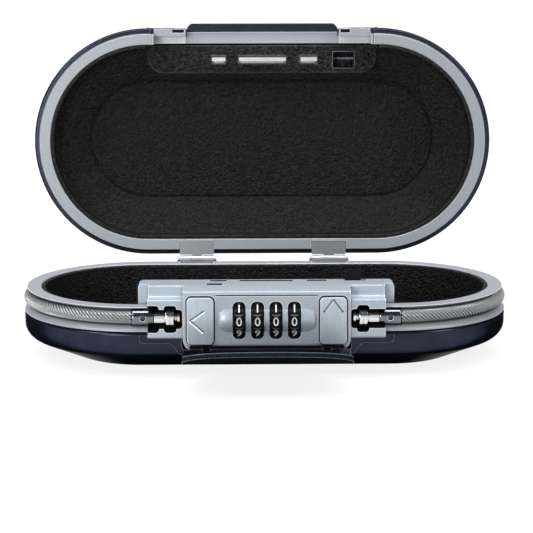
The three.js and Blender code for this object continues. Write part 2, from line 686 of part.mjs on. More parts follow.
function makeLatchBlock() {
  const raw = extrudeZ(blockOutline(0), [BLOCK_FACE, HALF_HEIGHT]);
  return cut(
    raw.intersect(lidCore(linerOffset + FIT_GAP)),
    box(
      grow(strikeStrip.x, FIT_GAP), grow(strikeStrip.y, FIT_GAP), [strikeStrip.z[0] - FIT_GAP, HALF_HEIGHT]),
    ...STRIKE_TABS.map((x) => box(grow(x, FIT_GAP), grow(strikeTabY, 2 * FIT_GAP), [0, HALF_HEIGHT])),
    leverNotch(),
  );
}

function makeStrike() {
  const strip = box(strikeStrip.x, strikeStrip.y, strikeStrip.z);
  const tabs = STRIKE_TABS.map((x) => box(x, strikeTabY, [STRIKE_TAB_BOTTOM, strikeStrip.z[1]]));
  const notchDepth = BOLT_TRAVEL - RUN_GAP + STRIKE_NOTCH_CLEARANCE;
  const notches = [STRIKE_TABS[0], STRIKE_TABS.at(-1)].map(([, high]) => box(
    [high - notchDepth, high + OVERCUT], grow(strikeTabY, OVERCUT), STRIKE_NOTCH));
  return cut(join(strip, ...tabs), ...notches);
}

// Lock case
const dialX = Array.from({ length: DIAL_COUNT }, (_, i) => (i - (DIAL_COUNT - 1) / 2) * DIAL_PITCH);
const stackEnd = dialX.at(-1) + DIAL_PITCH / 2;

function makeLockCase() {
  const rear = CASE_REAR_Y;
  const panel = new THREE.Shape();
  const r = CASE_EDGE_RADIUS;
  panel.moveTo(PANEL_Y + r, PANEL_BOTTOM);
  panel.lineTo(rear, PANEL_BOTTOM);
  panel.lineTo(rear, CASE_TOP);
  panel.lineTo(LEDGE_Y, CASE_TOP);
  panel.lineTo(PANEL_Y + r, PANEL_TOP);
  panel.absarc(PANEL_Y + r, PANEL_TOP - r, r, Math.PI / 2, Math.PI, false);
  panel.absarc(PANEL_Y + r, PANEL_BOTTOM + r, r, Math.PI, 1.5 * Math.PI, false);
  const wing = new THREE.Shape();
  wing.moveTo(WING_Y + r, -WING_HALF_HEIGHT);
  wing.lineTo(rear, -WING_HALF_HEIGHT);
  wing.lineTo(rear, CASE_TOP);
  wing.absarc(LEDGE_Y + r, CASE_TOP - r, r, Math.PI / 2, Math.PI, false);
  wing.lineTo(LEDGE_Y, WING_HALF_HEIGHT);
  wing.absarc(WING_Y + r, WING_HALF_HEIGHT - r, r, Math.PI / 2, Math.PI, false);
  wing.absarc(WING_Y + r, -WING_HALF_HEIGHT + r, r, Math.PI, 1.5 * Math.PI, false);
  const flange = roundedRectangle(
    [-FLANGE_HALF_WIDTH, FLANGE_HALF_WIDTH], [-WING_HALF_HEIGHT, CASE_TOP], FLANGE_CORNERS);
  const face = roundedRectangle(
    [-CASE_HALF_WIDTH, CASE_HALF_WIDTH], [PANEL_BOTTOM, CASE_TOP], [PANEL_CORNER, PANEL_CORNER, 0, 0]);
  const outside = join(
    extrudeX(panel, [-CASE_HALF_WIDTH, CASE_HALF_WIDTH]).intersect(extrudeY(face, [PANEL_Y - OVERCUT, rear])),
    extrudeX(wing, [-WING_HALF_WIDTH, WING_HALF_WIDTH]),
    extrudeY(flange, [FRONT + FLANGE_INSET, rear]),
    makeBarrel(),
    ...[-1, 1].map((side) => makeLug(side)),
  );
  const cavityRear = rear + OVERCUT;
  const dialCavity = box(
    [-CASE_HALF_WIDTH + CASE_WALL, CASE_HALF_WIDTH - CASE_WALL], [PANEL_Y + PANEL_WALL, cavityRear],
    [PANEL_BOTTOM + CASE_WALL, CASE_TOP - CASE_WALL]);
  const wingCavity = box(
    grow([-WING_HALF_WIDTH, WING_HALF_WIDTH], WING_CAVITY_REACH), [FRONT + WING_CAVITY_INSET, cavityRear],
    [-WING_HALF_HEIGHT + CASE_WALL, CASE_TOP - CASE_WALL]);
  const hollow = cut(outside, dialCavity, wingCavity);
  const webs = [-1, 1].map((side) => {
    const near = stackEnd + WEB_GAP;
    const x = side > 0 ? [near, near + WEB_THICKNESS] : [-near - WEB_THICKNESS, -near];
    return cut(
      box(x, [PANEL_Y + PANEL_WALL / 2, STRIKE_Y - WEB_REAR_GAP], [-WEB_HALF_HEIGHT, WEB_HALF_HEIGHT]),
      barX(grow(x, OVERCUT), AXIS_Y, DIAL_HEIGHT, SHAFT_DIAMETER + 2 * FIT_GAP));
  });
  const dialSlots = dialX.flatMap((x) => {
    const span = [x - SLOT_WIDTH / 2, x + SLOT_WIDTH / 2];
    const height = [DIAL_HEIGHT - SLOT_HEIGHT / 2, DIAL_HEIGHT + SLOT_HEIGHT / 2];
    return [
      extrudeY(roundedRectangle(span, height, alike(SLOT_CORNER)),
        [PANEL_Y - CUT_MARGIN, PANEL_Y + PANEL_WALL + OVERCUT]),
      barX(span, AXIS_Y, DIAL_HEIGHT, DIAL_DIAMETER + 2 * RUN_GAP, LARGE_SIDES),
    ];
  });
  const hubSpace = barX(
    grow([-stackEnd, stackEnd], FIT_GAP), AXIS_Y, DIAL_HEIGHT, HUB_DIAMETER + 2 * RUN_GAP);
  const throughPanel = grow([PANEL_Y, PANEL_Y + PANEL_WALL], OVERCUT);
  const openSlot = box(
    grow([BUTTON_X - STEM_WIDTH / 2, BUTTON_X + STEM_WIDTH / 2], FIT_GAP), throughPanel,
    grow([-STEM_HEIGHT / 2, STEM_HEIGHT / 2 + OPEN_TRAVEL], FIT_GAP));
  const cableSlot = box(
    grow([-BUTTON_X - STEM_WIDTH / 2 - CABLE_TRAVEL, -BUTTON_X + STEM_WIDTH / 2], FIT_GAP), throughPanel,
    grow([-STEM_HEIGHT / 2, STEM_HEIGHT / 2], FIT_GAP));
  const slotDepth = [strikeTabY[0] - FIT_GAP, strikeTabY[1] + STRIKE_SWING];
  const throughTop = grow([CASE_TOP - CASE_WALL, CASE_TOP], OVERCUT);
  const topSlots = STRIKE_TABS.map((x) => box(grow(x, RUN_GAP), slotDepth, throughTop));
  const leverSlot = box(
    grow([LEVER_X - LEVER_WIDTH / 2, LEVER_X + LEVER_WIDTH / 2 + LEVER_TRAVEL], FIT_GAP),
    grow(LEVER_Y, FIT_GAP), throughTop);
  const screwHoles = SCREW_PLACES.map(([x, z]) => barY(
    x, [rear - SCREW_LENGTH - FIT_GAP, rear + OVERCUT], z, SCREW_DIAMETER + 2 * FIT_GAP));
  const pinHole = barX(
    [-COVER_LENGTH / 2, COVER_LENGTH / 2], COVER_AXIS_Y, COVER_AXIS_HEIGHT, COVER_PIN_DIAMETER + 2 * FIT_GAP);
  return cut(
    join(hollow, ...webs), ...dialSlots, hubSpace, openSlot, cableSlot, ...topSlots, leverSlot,
    ...screwHoles, pinHole, ...makePlugNotches());
}

// The long swelling round the dials: a turned bar with domed ends, about the dials' own axis
function makeBarrel() {
  const radius = BARREL_DIAMETER / 2;
  const foot = PANEL_Y - AXIS_Y;
  const endRadius = Math.abs(foot) - BARREL_END_DROP;
  const profile = [new THREE.Vector2(0, -BARREL_HALF_LENGTH)];
  const dome = [];
  for (let step = 0; step <= BARREL_END_STEPS; step += 1) {
    const angle = (Math.PI / 2) * (step / BARREL_END_STEPS);
    dome.push([
      endRadius + (radius - endRadius) * Math.sin(angle),
      BARREL_HALF_LENGTH - BARREL_END * (1 - Math.cos(angle)),
    ]);
  }
  dome.forEach(([r, x]) => profile.push(new THREE.Vector2(r, -x)));
  dome.reverse().forEach(([r, x]) => profile.push(new THREE.Vector2(r, x)));
  profile.push(new THREE.Vector2(0, BARREL_HALF_LENGTH));
  const turned = new THREE.LatheGeometry(profile, LARGE_SIDES).rotateZ(-Math.PI / 2);
  const slice = box(
    grow([-BARREL_HALF_LENGTH, BARREL_HALF_LENGTH], OVERCUT), [PANEL_Y - CUT_MARGIN, PANEL_Y + PANEL_WALL],
    [DIAL_HEIGHT - SLOT_HEIGHT / 2, DIAL_HEIGHT + SLOT_HEIGHT / 2]);
  return solid(turned.translate(0, AXIS_Y, DIAL_HEIGHT)).intersect(slice);
}

// One of the two lugs that hold the front cover's pin
function makeLug(side) {
  const radius = COVER_BARREL_DIAMETER / 2;
  const outline = new THREE.Shape();
  outline.moveTo(PANEL_Y + PANEL_WALL / 2, COVER_AXIS_HEIGHT + radius);
  outline.absarc(COVER_AXIS_Y, COVER_AXIS_HEIGHT, radius, Math.PI / 2, 1.5 * Math.PI, false);
  outline.lineTo(PANEL_Y + PANEL_WALL / 2, PANEL_BOTTOM + CASE_EDGE_RADIUS / 2);
  const centre = side * LUG_X;
  return extrudeX(outline, [centre - LUG_WIDTH / 2, centre + LUG_WIDTH / 2]);
}

// The notches in the wings that the cable's ends lie in, open to the front
function makePlugNotches() {
  const open = (x, diameter) => join(
    barX(x, CABLE_Y, 0, diameter),
    box(x, [WING_Y - OVERCUT, CABLE_Y], [-diameter / 2, diameter / 2]));
  const notch = [CASE_HALF_WIDTH + FIT_GAP, WING_HALF_WIDTH + OVERCUT];
  const pocket = [PLUG_COLLAR_X - POCKET_LEAD, PLUG_COLLAR_X - POCKET_LEAD + POCKET_WIDTH];
  const mouth = [WING_HALF_WIDTH - MOUTH_POCKET_WIDTH, WING_HALF_WIDTH + OVERCUT];
  const leftOf = ([near, far]) => [-far, -near];
  return [
    open(notch, NOTCH_DIAMETER),
    open(pocket, POCKET_DIAMETER),
    open(leftOf(notch), NOTCH_DIAMETER),
    open(leftOf(pocket), POCKET_DIAMETER),
    open(leftOf(mouth), POCKET_DIAMETER),
  ];
}

// The plate that closes the back of the lock case, with two guides for the latch bolt and its spring's post
const boltBar = {
  x: [STRIKE_TABS[0][0] - BOLT_BAR_OVERHANGS[0], STRIKE_TABS.at(-1)[1] + BOLT_BAR_OVERHANGS[1]],
  y: strikeTabY,
  z: [BOLT_BAR_BOTTOM, BOLT_BAR_BOTTOM + BOLT_BAR_HEIGHT],
};
const springX = [boltBar.x[1] + FIT_GAP, boltBar.x[1] + FIT_GAP + SPRING_LENGTH];
const springZ = BOLT_BAR_BOTTOM + BOLT_BAR_HEIGHT / 2;

function makeBackPlate() {
  const outline = roundedRectangle(
    grow([-FLANGE_HALF_WIDTH, FLANGE_HALF_WIDTH], -BACK_PLATE_MARGIN),
    grow([-WING_HALF_HEIGHT, CASE_TOP], -BACK_PLATE_MARGIN), FLANGE_CORNERS);
  const apron = roundedRectangle(
    grow([-CASE_HALF_WIDTH, CASE_HALF_WIDTH], -BACK_PLATE_MARGIN),
    [PANEL_BOTTOM + BACK_PLATE_MARGIN, 0], [PANEL_CORNER, PANEL_CORNER, 0, 0]);
  const depth = [BACK_PLATE_Y, BACK_PLATE_Y + BACK_PLATE_THICKNESS];
  const intoPlate = BACK_PLATE_Y + BACK_PLATE_THICKNESS / 2;
  const guideTop = boltBar.z[0] - FIT_GAP;
  const guideRear = boltBar.y[0] - FIT_GAP;
  const guides = [boltBar.x[0], STRIKE_TABS.at(-1)[0]].map((start) => {
    const x = [start + GUIDE_INSET, start + GUIDE_INSET + GUIDE_WIDTH];
    const shelf = box(x, [guideRear - GUIDE_THICKNESS, intoPlate], [guideTop - GUIDE_THICKNESS, guideTop]);
    const lip = box(
      x, [guideRear - GUIDE_THICKNESS, guideRear], [guideTop - GUIDE_THICKNESS, boltBar.z[0] + GUIDE_LIP]);
    return join(shelf, lip);
  });
  const postStart = springX[1] + FIT_GAP;
  const post = box(
    [postStart, postStart + SPRING_POST_THICKNESS], [STRIKE_Y - SPRING_POST_HALF, intoPlate],
    [springZ - SPRING_POST_HALF, springZ + SPRING_POST_HALF]);
  const holes = SCREW_PLACES.map(([x, z]) => barY(
    x, grow(depth, OVERCUT), z, SCREW_DIAMETER + 2 * FIT_GAP));
  return cut(join(extrudeY(outline, depth), extrudeY(apron, depth), ...guides, post), ...holes);
}

function makeScrew() {
  const shank = SCREW_DIAMETER / 2;
  const head = SCREW_HEAD_DIAMETER / 2;
  const profile = [
    [0, -SCREW_LENGTH], [shank / 2, -SCREW_LENGTH], [shank, -SCREW_LENGTH + shank], [shank, 0],
    [head, 0], [head, SCREW_HEAD_HEIGHT / 2], [head / 2, SCREW_HEAD_HEIGHT], [0, SCREW_HEAD_HEIGHT],
  ].map(([r, y]) => new THREE.Vector2(r, y));
  return solid(new THREE.LatheGeometry(profile, SCREW_SIDES));
}

// Dials, each with its number ring and the code hub that the ring turns
function makeDial(x) {
  const ring = new THREE.Shape();
  const radius = DIAL_DIAMETER / 2;
  for (let face = 0; face < DIAL_FACES; face += 1) {
    for (let step = 0; step < DIAL_FACE_STEPS; step += 1) {
      const angle = (2 * Math.PI * (face + step / DIAL_FACE_STEPS)) / DIAL_FACES;
      const dip = DIAL_GRIP_DEPTH * Math.pow(Math.abs(Math.cos((DIAL_FACES / 2) * angle)), DIAL_GRIP_SHARPNESS);
      const point = [Math.cos(angle) * (radius - dip), Math.sin(angle) * (radius - dip)];
      if (face + step === 0) ring.moveTo(...point);
      else ring.lineTo(...point);
    }
  }
  const half = DIAL_WIDTH / 2;
  const hubHalf = DIAL_PITCH / 2 - FIT_GAP / 2;
  const moved = new THREE.Matrix4().makeTranslation(0, AXIS_Y, DIAL_HEIGHT);
  const turned = extrudeX(ring, [x - half, x + half]);
  const rim = solid(geometryOf(turned).applyMatrix4(moved));
  const hub = barX([x - hubHalf, x + hubHalf], AXIS_Y, DIAL_HEIGHT, HUB_DIAMETER);
  const gate = box([x + half + FIT_GAP, x + hubHalf + OVERCUT],
    [AXIS_Y + HUB_DIAMETER / 2 - HUB_GATE_DEPTH, AXIS_Y + HUB_DIAMETER],
    [DIAL_HEIGHT - HUB_GATE_WIDTH / 2, DIAL_HEIGHT + HUB_GATE_WIDTH / 2]);
  const bore = barX(
    [x - DIAL_PITCH, x + DIAL_PITCH], AXIS_Y, DIAL_HEIGHT, SHAFT_DIAMETER + 2 * FIT_GAP, SMALL_SIDES);
  return cut(join(rim, hub), gate, bore);
}

function makeShaft() {
  const end = stackEnd + WEB_GAP + WEB_THICKNESS + FIT_GAP;
  const headDiameter = SHAFT_DIAMETER + 2 * SHAFT_HEAD_STEP;
  const heads = [[end, end + SHAFT_HEAD_THICKNESS], [-end - SHAFT_HEAD_THICKNESS, -end]];
  const middles = grow([-end, end], SHAFT_HEAD_THICKNESS / 2);
  return join(
    barX(middles, AXIS_Y, DIAL_HEIGHT, SHAFT_DIAMETER),
    ...heads.map((x) => barX(x, AXIS_Y, DIAL_HEIGHT, headDiameter)));
}

// A sliding button: its cap in front of the panel, its stem and the foot that keeps it in
function makeButton(x, [footWidth, footHeight]) {
  const capX = [x - BUTTON_WIDTH / 2, x + BUTTON_WIDTH / 2];
  const capZ = [BUTTON_CENTRE_HEIGHT - BUTTON_HEIGHT / 2, BUTTON_CENTRE_HEIGHT + BUTTON_HEIGHT / 2];
  const capY = [PANEL_Y - FIT_GAP - BUTTON_THICKNESS, PANEL_Y - FIT_GAP];
  const cap = extrudeY(
    roundedRectangle(capX, capZ, alike(BUTTON_CORNER)), [capY[0] + BUTTON_EDGE, capY[1]]);
  const rise = extrudeY(
    roundedRectangle(grow(capX, -BUTTON_EDGE), grow(capZ, -BUTTON_EDGE), alike(BUTTON_CORNER - BUTTON_EDGE)),
    [capY[0], capY[1] - STEM_SINK]);
  const footY = [PANEL_Y + PANEL_WALL + FIT_GAP, PANEL_Y + PANEL_WALL + FIT_GAP + BUTTON_FOOT_THICKNESS];
  const stem = box(
    [x - STEM_WIDTH / 2, x + STEM_WIDTH / 2], [capY[1] - STEM_SINK, footY[0] + STEM_SINK],
    [-STEM_HEIGHT / 2, STEM_HEIGHT / 2]);
  const foot = box([x - footWidth / 2, x + footWidth / 2], footY, [-footHeight / 2, footHeight / 2]);
  return join(cap, rise, stem, foot);
}

function makeBolt() {
  const bar = box(boltBar.x, boltBar.y, boltBar.z);
  const noseHeight = grow(STRIKE_NOTCH, -BOLT_NOSE_GAP);
  const posts = [STRIKE_TABS[0], STRIKE_TABS.at(-1)].flatMap(([, high]) => {
    const x = high + RUN_GAP;
    return [
      box([x + BOLT_NOSE, x + BOLT_POST_WIDTH], boltBar.y, [boltBar.z[0], noseHeight[1]]),
      box([x, x + BOLT_POST_WIDTH], boltBar.y, noseHeight),
    ];
  });
  return join(bar, ...posts);
}

// A compression spring along X, one unbroken wire
class Helix extends THREE.Curve {
  constructor(start, end, radius, turns) {
    super();
    Object.assign(this, { start, end, radius, turns });
  }

  getPoint(t, target = new THREE.Vector3()) {
    const angle = 2 * Math.PI * this.turns * t;
    const along = THREE.MathUtils.lerp(this.start, this.end, t);
    return target.set(along, this.radius * Math.cos(angle), this.radius * Math.sin(angle));
  }
}

// The least clear distance between neighbouring turns, between points half a turn or more apart
function leastGap(route, steps, thickness) {
  const points = route.getPoints(steps);
  const apart = SPRING_TURN_STEPS / 2;
  let least = Infinity;
  points.forEach((point, i) => {
    for (const other of points.slice(i + apart)) least = Math.min(least, point.distanceTo(other));
  });
  return least - thickness;
}

const polygon = (sides, radius, turn = 0) => new THREE.Shape(Array.from({ length: sides }, (_, i) => {
  const angle = (2 * Math.PI * (i + turn)) / sides;
  return new THREE.Vector2(Math.cos(angle), Math.sin(angle)).multiplyScalar(radius);
}));

function makeSpring() {
  const ends = grow(springX, -SPRING_WIRE / 2 - SPRING_SEAT_GAP);
  const route = new Helix(...ends, (SPRING_DIAMETER - SPRING_WIRE) / 2, SPRING_TURNS);
  const steps = SPRING_TURN_STEPS * SPRING_TURNS;
  console.log(`latch_spring: least gap between turns ${leastGap(route, steps, SPRING_WIRE).toFixed(2)} mm`);
  const wire = polygon(SPRING_WIRE_SIDES, SPRING_WIRE / 2);
  const geometry = new THREE.ExtrudeGeometry(wire, { steps, extrudePath: route, bevelEnabled: false });
  return solid(geometry.translate(0, STRIKE_Y, springZ));
}

function makeLever() {
  const x = [LEVER_X - LEVER_WIDTH / 2, LEVER_X + LEVER_WIDTH / 2];
  const footTop = CASE_TOP - CASE_WALL - FIT_GAP;
  const footBottom = footTop - LEVER_FOOT_THICKNESS;
  const tab = extrudeY(
    roundedRectangle(x, [footBottom + OVERCUT, LEVER_TOP], [0, 0, LEVER_CORNER, LEVER_CORNER]), LEVER_Y);
  const foot = box(grow(x, LEVER_FOOT), grow(LEVER_Y, LEVER_FOOT_DEPTH), [footBottom, footTop]);
  return join(tab, foot);
}

// Cable and its two ends
class CableRoute extends THREE.Curve {
  constructor() {
    super();
    this.radius = HALF_DEPTH - CABLE_INSET;
    this.straight = END_CENTRE_X - FERRULE_END_X - FIT_GAP;
    this.back = 2 * END_CENTRE_X;
    this.arc = Math.PI * this.radius;
    this.total = 2 * this.arc + this.back + 2 * this.straight;
  }

  // Distance runs from the right end, round the right half, along the back and round to the left end
  getPoint(t, target = new THREE.Vector3()) {
    const distance = t * this.total - this.straight;
    if (distance < 0) return target.set(END_CENTRE_X + distance, -this.radius, 0);
    if (distance < this.arc) return this.round(1, distance / this.radius - Math.PI / 2, target);
    if (distance < this.arc + this.back) {
      return target.set(END_CENTRE_X - (distance - this.arc), this.radius, 0);
    }
    const rest = distance - this.arc - this.back;
    if (rest < this.arc) return this.round(-1, rest / this.radius + Math.PI / 2, target);
    return target.set(-END_CENTRE_X + rest - this.arc, -this.radius, 0);
  }

  round(side, angle, target) {
    const x = side * END_CENTRE_X + this.radius * Math.cos(angle);
    return target.set(x, this.radius * Math.sin(angle), 0);
  }
}

function makeCable() {
  const section = polygon(CABLE_SIDES, CABLE_DIAMETER / 2, 1 / 2);
  return solid(new THREE.ExtrudeGeometry(section, {
    steps: CABLE_STEPS, extrudePath: new CableRoute(), bevelEnabled: false,
  }));
}

// A turned bar along X from a profile of [x, radius] stations
function turnedX(stations) {
  const points = stations.map(([x, radius]) => new THREE.Vector2(radius, x));
  const profile = [new THREE.Vector2(0, stations[0][0]), ...points, new THREE.Vector2(0, stations.at(-1)[0])];
  return solid(new THREE.LatheGeometry(profile, ROUND_SIDES).rotateZ(-Math.PI / 2));
}

// One end of the cable, drawn for the right side. Its group's half turn makes the left one.
function makeFerrule() {
  const radius = FERRULE_DIAMETER / 2;
  const near = FERRULE_END_X - FERRULE_LENGTH;
  const body = turnedX([
    [near, radius - FERRULE_BEVEL], [near + FERRULE_BEVEL, radius],
    [FERRULE_END_X - FERRULE_BEVEL, radius], [FERRULE_END_X, radius - FERRULE_BEVEL]]);
  const screwX = near + FERRULE_LENGTH / 2;
  return cut(body, barY(screwX, [-radius - OVERCUT, -radius / 2], 0, FERRULE_SCREW_DIAMETER));
}

function makePlug() {
  const shaft = PLUG_SHAFT_DIAMETER / 2;
  const collar = PLUG_COLLAR_DIAMETER / 2;
  const end = FERRULE_END_X - FERRULE_LENGTH - FIT_GAP;
  const collarEnd = PLUG_COLLAR_X + PLUG_COLLAR_WIDTH;
  const tipEnd = PLUG_TIP_X + PLUG_TIP_LENGTH;
  const neck = shaft - PLUG_NECK_DEPTH;
  const body = turnedX([
    [PLUG_TIP_X, shaft - PLUG_TIP_BEVEL], [PLUG_TIP_X + PLUG_TIP_BEVEL, shaft],
    [tipEnd, shaft], [tipEnd, neck],
    [PLUG_COLLAR_X, neck], [PLUG_COLLAR_X, collar - PLUG_EDGE], [PLUG_COLLAR_X + PLUG_EDGE, collar],
    [collarEnd - PLUG_EDGE, collar], [collarEnd, collar - PLUG_EDGE], [collarEnd, shaft], [end, shaft],
  ]);
  const flutes = PLUG_FLUTE_HEIGHTS.map((z) => box(
    [collarEnd + OVERCUT, end + OVERCUT],
    [-shaft - OVERCUT, PLUG_FLUTE_DEPTH - Math.sqrt(shaft ** 2 - z ** 2)],
    [z - PLUG_FLUTE_WIDTH / 2, z + PLUG_FLUTE_WIDTH / 2]));
  return cut(body, ...flutes);
}

// One leaf of a hinge about its pin. The two hinges at the back each have three knuckles.
function makeLeaf(x, side, knuckles) {
  const radius = KNUCKLE_DIAMETER / 2;
  const face = side * FIT_GAP / 2;
  const back = face + side * LEAF_THICKNESS;
  const z = [Math.min(face, back), Math.max(face, back)];
  const reach = -(HINGE_OUTSET + RIM_LIP_INSET + LEAF_REACH);
  const plate = box([x - HINGE_HALF, x + HINGE_HALF], [reach, -radius - FIT_GAP], z);
  const bars = knuckles.flatMap((place) => {
    const centre = x + place * KNUCKLE_WIDTH;
    const span = grow([centre, centre], (KNUCKLE_WIDTH - FIT_GAP) / 2);
    return [barX(span, 0, 0, KNUCKLE_DIAMETER, SMALL_SIDES), box(span, [reach, -radius / 2], z)];
  });
  const bore = barX(
    grow([x - HINGE_HALF, x + HINGE_HALF], OVERCUT), 0, 0, HINGE_PIN_DIAMETER + 2 * FIT_GAP, SMALL_SIDES);
  return cut(join(plate, ...bars), bore);
}

function makeHingePin(x) {
  const end = HINGE_HALF + HINGE_PIN_OVERHANG;
  const [headDiameter, headThickness] = HINGE_PIN_HEAD;
  return join(
    barX([x - end, x + end], 0, 0, HINGE_PIN_DIAMETER, SMALL_SIDES),
    barX([x - end - headThickness, x - end], 0, 0, headDiameter, SMALL_SIDES),
    barX([x + end, x + end + headThickness], 0, 0, headDiameter, SMALL_SIDES));
}

// Front cover, drawn shut about its own pin and bowed in slightly at its middle
const coverAxis = [COVER_AXIS_Y, COVER_AXIS_HEIGHT];
const coverHalf = COVER_LENGTH / 2;

// The cover's sheet before its corners are cut: two creases up its height, and a wall inside them
function makeCoverSheet(wall) {
  const radius = COVER_BARREL_DIAMETER / 2;
  const [axisY, axisZ] = coverAxis;
  const face = FRONT - COVER_FACE_OUTSET;
  const top = FRONT - COVER_TOP_OUTSET;
  const section = [
    [axisY, axisZ],
    [axisY, axisZ + radius],
    [face + wall, COVER_CREASE_LOW],
    [face + wall, COVER_CREASE_HIGH],
    [top + wall, COVER_TOP],
    [top, COVER_TOP],
    [face, COVER_CREASE_HIGH],
    [face, COVER_CREASE_LOW],
    [axisY - radius, axisZ - COVER_BARREL_FLAT],
    [axisY - COVER_BARREL_FLAT, axisZ - radius],
  ];
  const rings = [];
  for (let step = 0; step <= COVER_STEPS; step += 1) {
    const x = -coverHalf + (COVER_LENGTH * step) / COVER_STEPS;
    const bow = COVER_BOW * (1 - (x / coverHalf) ** 2);
    rings.push(section.map(([y, z]) => {
      const rise = (z - axisZ - radius) / (COVER_CREASE_HIGH - axisZ - radius);
      return [x, y + bow * THREE.MathUtils.clamp(rise, 0, 1), z];
    }));
  }
  return prism(rings);
}

function makeCover() {
  const radius = COVER_BARREL_DIAMETER / 2;
  const [axisY, axisZ] = coverAxis;
  const depth = [FRONT - CUT_MARGIN, FRONT];
  const outline = extrudeY(roundedRectangle(
    [-coverHalf, coverHalf], [axisZ - radius, COVER_TOP],
    [COVER_LOW_CORNER, COVER_LOW_CORNER, COVER_CORNER, COVER_CORNER]), depth);
  const rimInside = extrudeY(roundedRectangle(
    grow([-coverHalf, coverHalf], -COVER_RIM_WIDTH), [axisZ - CUT_MARGIN, COVER_TOP - COVER_RIM_WIDTH],
    [0, 0, COVER_RIM_CORNER, COVER_RIM_CORNER]), depth);
  const underRim = box([-coverHalf, coverHalf], depth, [axisZ - CUT_MARGIN, COVER_CREASE_LOW]);
  const rim = cut(makeCoverSheet(COVER_WALL + COVER_RIM_HEIGHT).intersect(outline), rimInside, underRim);
  const barrelX = grow([-coverHalf, coverHalf], -COVER_BARREL_INSET);
  const lugSpaces = [-LUG_X, LUG_X].map((x) => box(
    grow([x - LUG_WIDTH / 2, x + LUG_WIDTH / 2], FIT_GAP),
    [axisY - radius - RUN_GAP, axisY + radius + OVERCUT],
    [axisZ - radius - OVERCUT, axisZ + radius + RUN_GAP]));
  const bore = barX([-coverHalf, coverHalf], axisY, axisZ, COVER_PIN_DIAMETER + 2 * FIT_GAP);
  const sheet = makeCoverSheet(COVER_WALL).intersect(outline);
  return cut(join(sheet, rim, barX(barrelX, ...coverAxis, COVER_BARREL_DIAMETER)), ...lugSpaces, bore);
}

function makeCoverPin() {
  return barX(grow([-coverHalf, coverHalf], -COVER_PIN_INSET), ...coverAxis, COVER_PIN_DIAMETER, SMALL_SIDES);
}

// A solid through a row of like rings along X, each anticlockwise in (y, z)
function prism(rings) {
  const count = rings[0].length;
  const index = [];
  for (let ring = 0; ring < rings.length - 1; ring += 1) {
    for (let i = 0; i < count; i += 1) {
      const next = (i + 1) % count;
      const near = ring * count;
      const far = near + count;
      index.push(near + i, near + next, far + next, near + i, far + next, far + i);
    }
  }
  const outline = rings[0].map(([, y, z]) => new THREE.Vector2(y, z));
  const last = (rings.length - 1) * count;
  for (const [a, b, c] of THREE.ShapeUtils.triangulateShape(outline, [])) {
    index.push(a, c, b, last + a, last + b, last + c);
  }
  const geometry = new THREE.BufferGeometry();
  geometry.setAttribute('position', new THREE.Float32BufferAttribute(rings.flat(2), 3));
  geometry.setIndex(index);
  return solid(geometry);
}

// Assembly
const safe = new THREE.Group();
const base = new THREE.Group();
base.position.z = HALF_HEIGHT;
safe.add(base);

base.add(
  piece('base_shell', makeBaseShell(), 'shell'),
  piece('base_rim', makeBaseRim(), 'rim'),
  piece('base_liner', makeBaseLiner(), 'foam'),
  piece('lock_case', makeLockCase(), 'zinc'),
  piece('lock_back_plate', makeBackPlate(), 'steel'),
  piece('dial_shaft', makeShaft(), 'steel'),
  piece('latch_bolt', makeBolt(), 'steel'),
  piece('latch_spring', makeSpring(), 'steel'),
  piece('change_lever', makeLever(), 'black'),
  piece('cable', makeCable(), 'cable'),
  piece('cover_pin', makeCoverPin(), 'steel'),
  piece('open_button', makeButton(BUTTON_X, OPEN_FOOT), 'steel'),
  piece('cable_button', makeButton(-BUTTON_X, CABLE_FOOT), 'steel'),
);

dialX.forEach((x, i) => base.add(piece(`dial_${i + 1}`, makeDial(x), 'black')));

SCREW_PLACES.forEach(([x, z], i) => {
  const screw = piece(`back_plate_screw_${i + 1}`, makeScrew(), 'steel');
  screw.position.set(x, BACK_PLATE_Y + BACK_PLATE_THICKNESS + FIT_GAP, z);
  base.add(screw);
});

for (const [side, label] of [[1, 'right'], [-1, 'left']]) {
  const end = new THREE.Group();
  end.position.set(0, CABLE_Y, 0);
  end.rotation.y = side > 0 ? 0 : Math.PI;
  end.add(
    piece(`cable_plug_${label}`, makePlug(), 'chrome'),
    piece(`ferrule_${label}`, makeFerrule(), 'chrome'));
  base.add(end);
}

const hingeAxis = new THREE.Group();
hingeAxis.position.set(0, HINGE_Y, SEAM);
base.add(hingeAxis);
const lidPivot = new THREE.Group();
lidPivot.rotation.x = -LID_OPEN;
hingeAxis.add(lidPivot);
HINGE_PLACES.forEach((x, i) => {
  const label = ['left', 'right'][i];
  hingeAxis.add(
    piece(`base_hinge_leaf_${label}`, makeLeaf(x, -1, [-1, 1]), 'steel'),
    piece(`hinge_pin_${label}`, makeHingePin(x), 'steel'));
  lidPivot.add(piece(`lid_hinge_leaf_${label}`, makeLeaf(x, 1, [0]), 'steel'));
});

const lid = new THREE.Group();
lid.position.set(0, -HINGE_Y, -SEAM);
lidPivot.add(lid);
lid.add(
  piece('lid_shell', makeLidShell(), 'shell'),
  piece('lid_rim', makeLidRim(), 'rim'),
  piece('lid_liner', makeLidLiner(), 'foam'),
  piece('lid_bezel', makeBezel(), 'rim'),
  piece('latch_block', makeLatchBlock(), 'black'),
  piece('strike_plate', makeStrike(), 'chrome'),
);

const coverPivot = new THREE.Group();
coverPivot.position.set(0, ...coverAxis);
coverPivot.rotation.x = COVER_OPEN;
base.add(coverPivot);
const cover = piece('front_cover', makeCover(), 'cover');
cover.position.set(0, -COVER_AXIS_Y, -COVER_AXIS_HEIGHT);
coverPivot.add(cover);

export default safe;
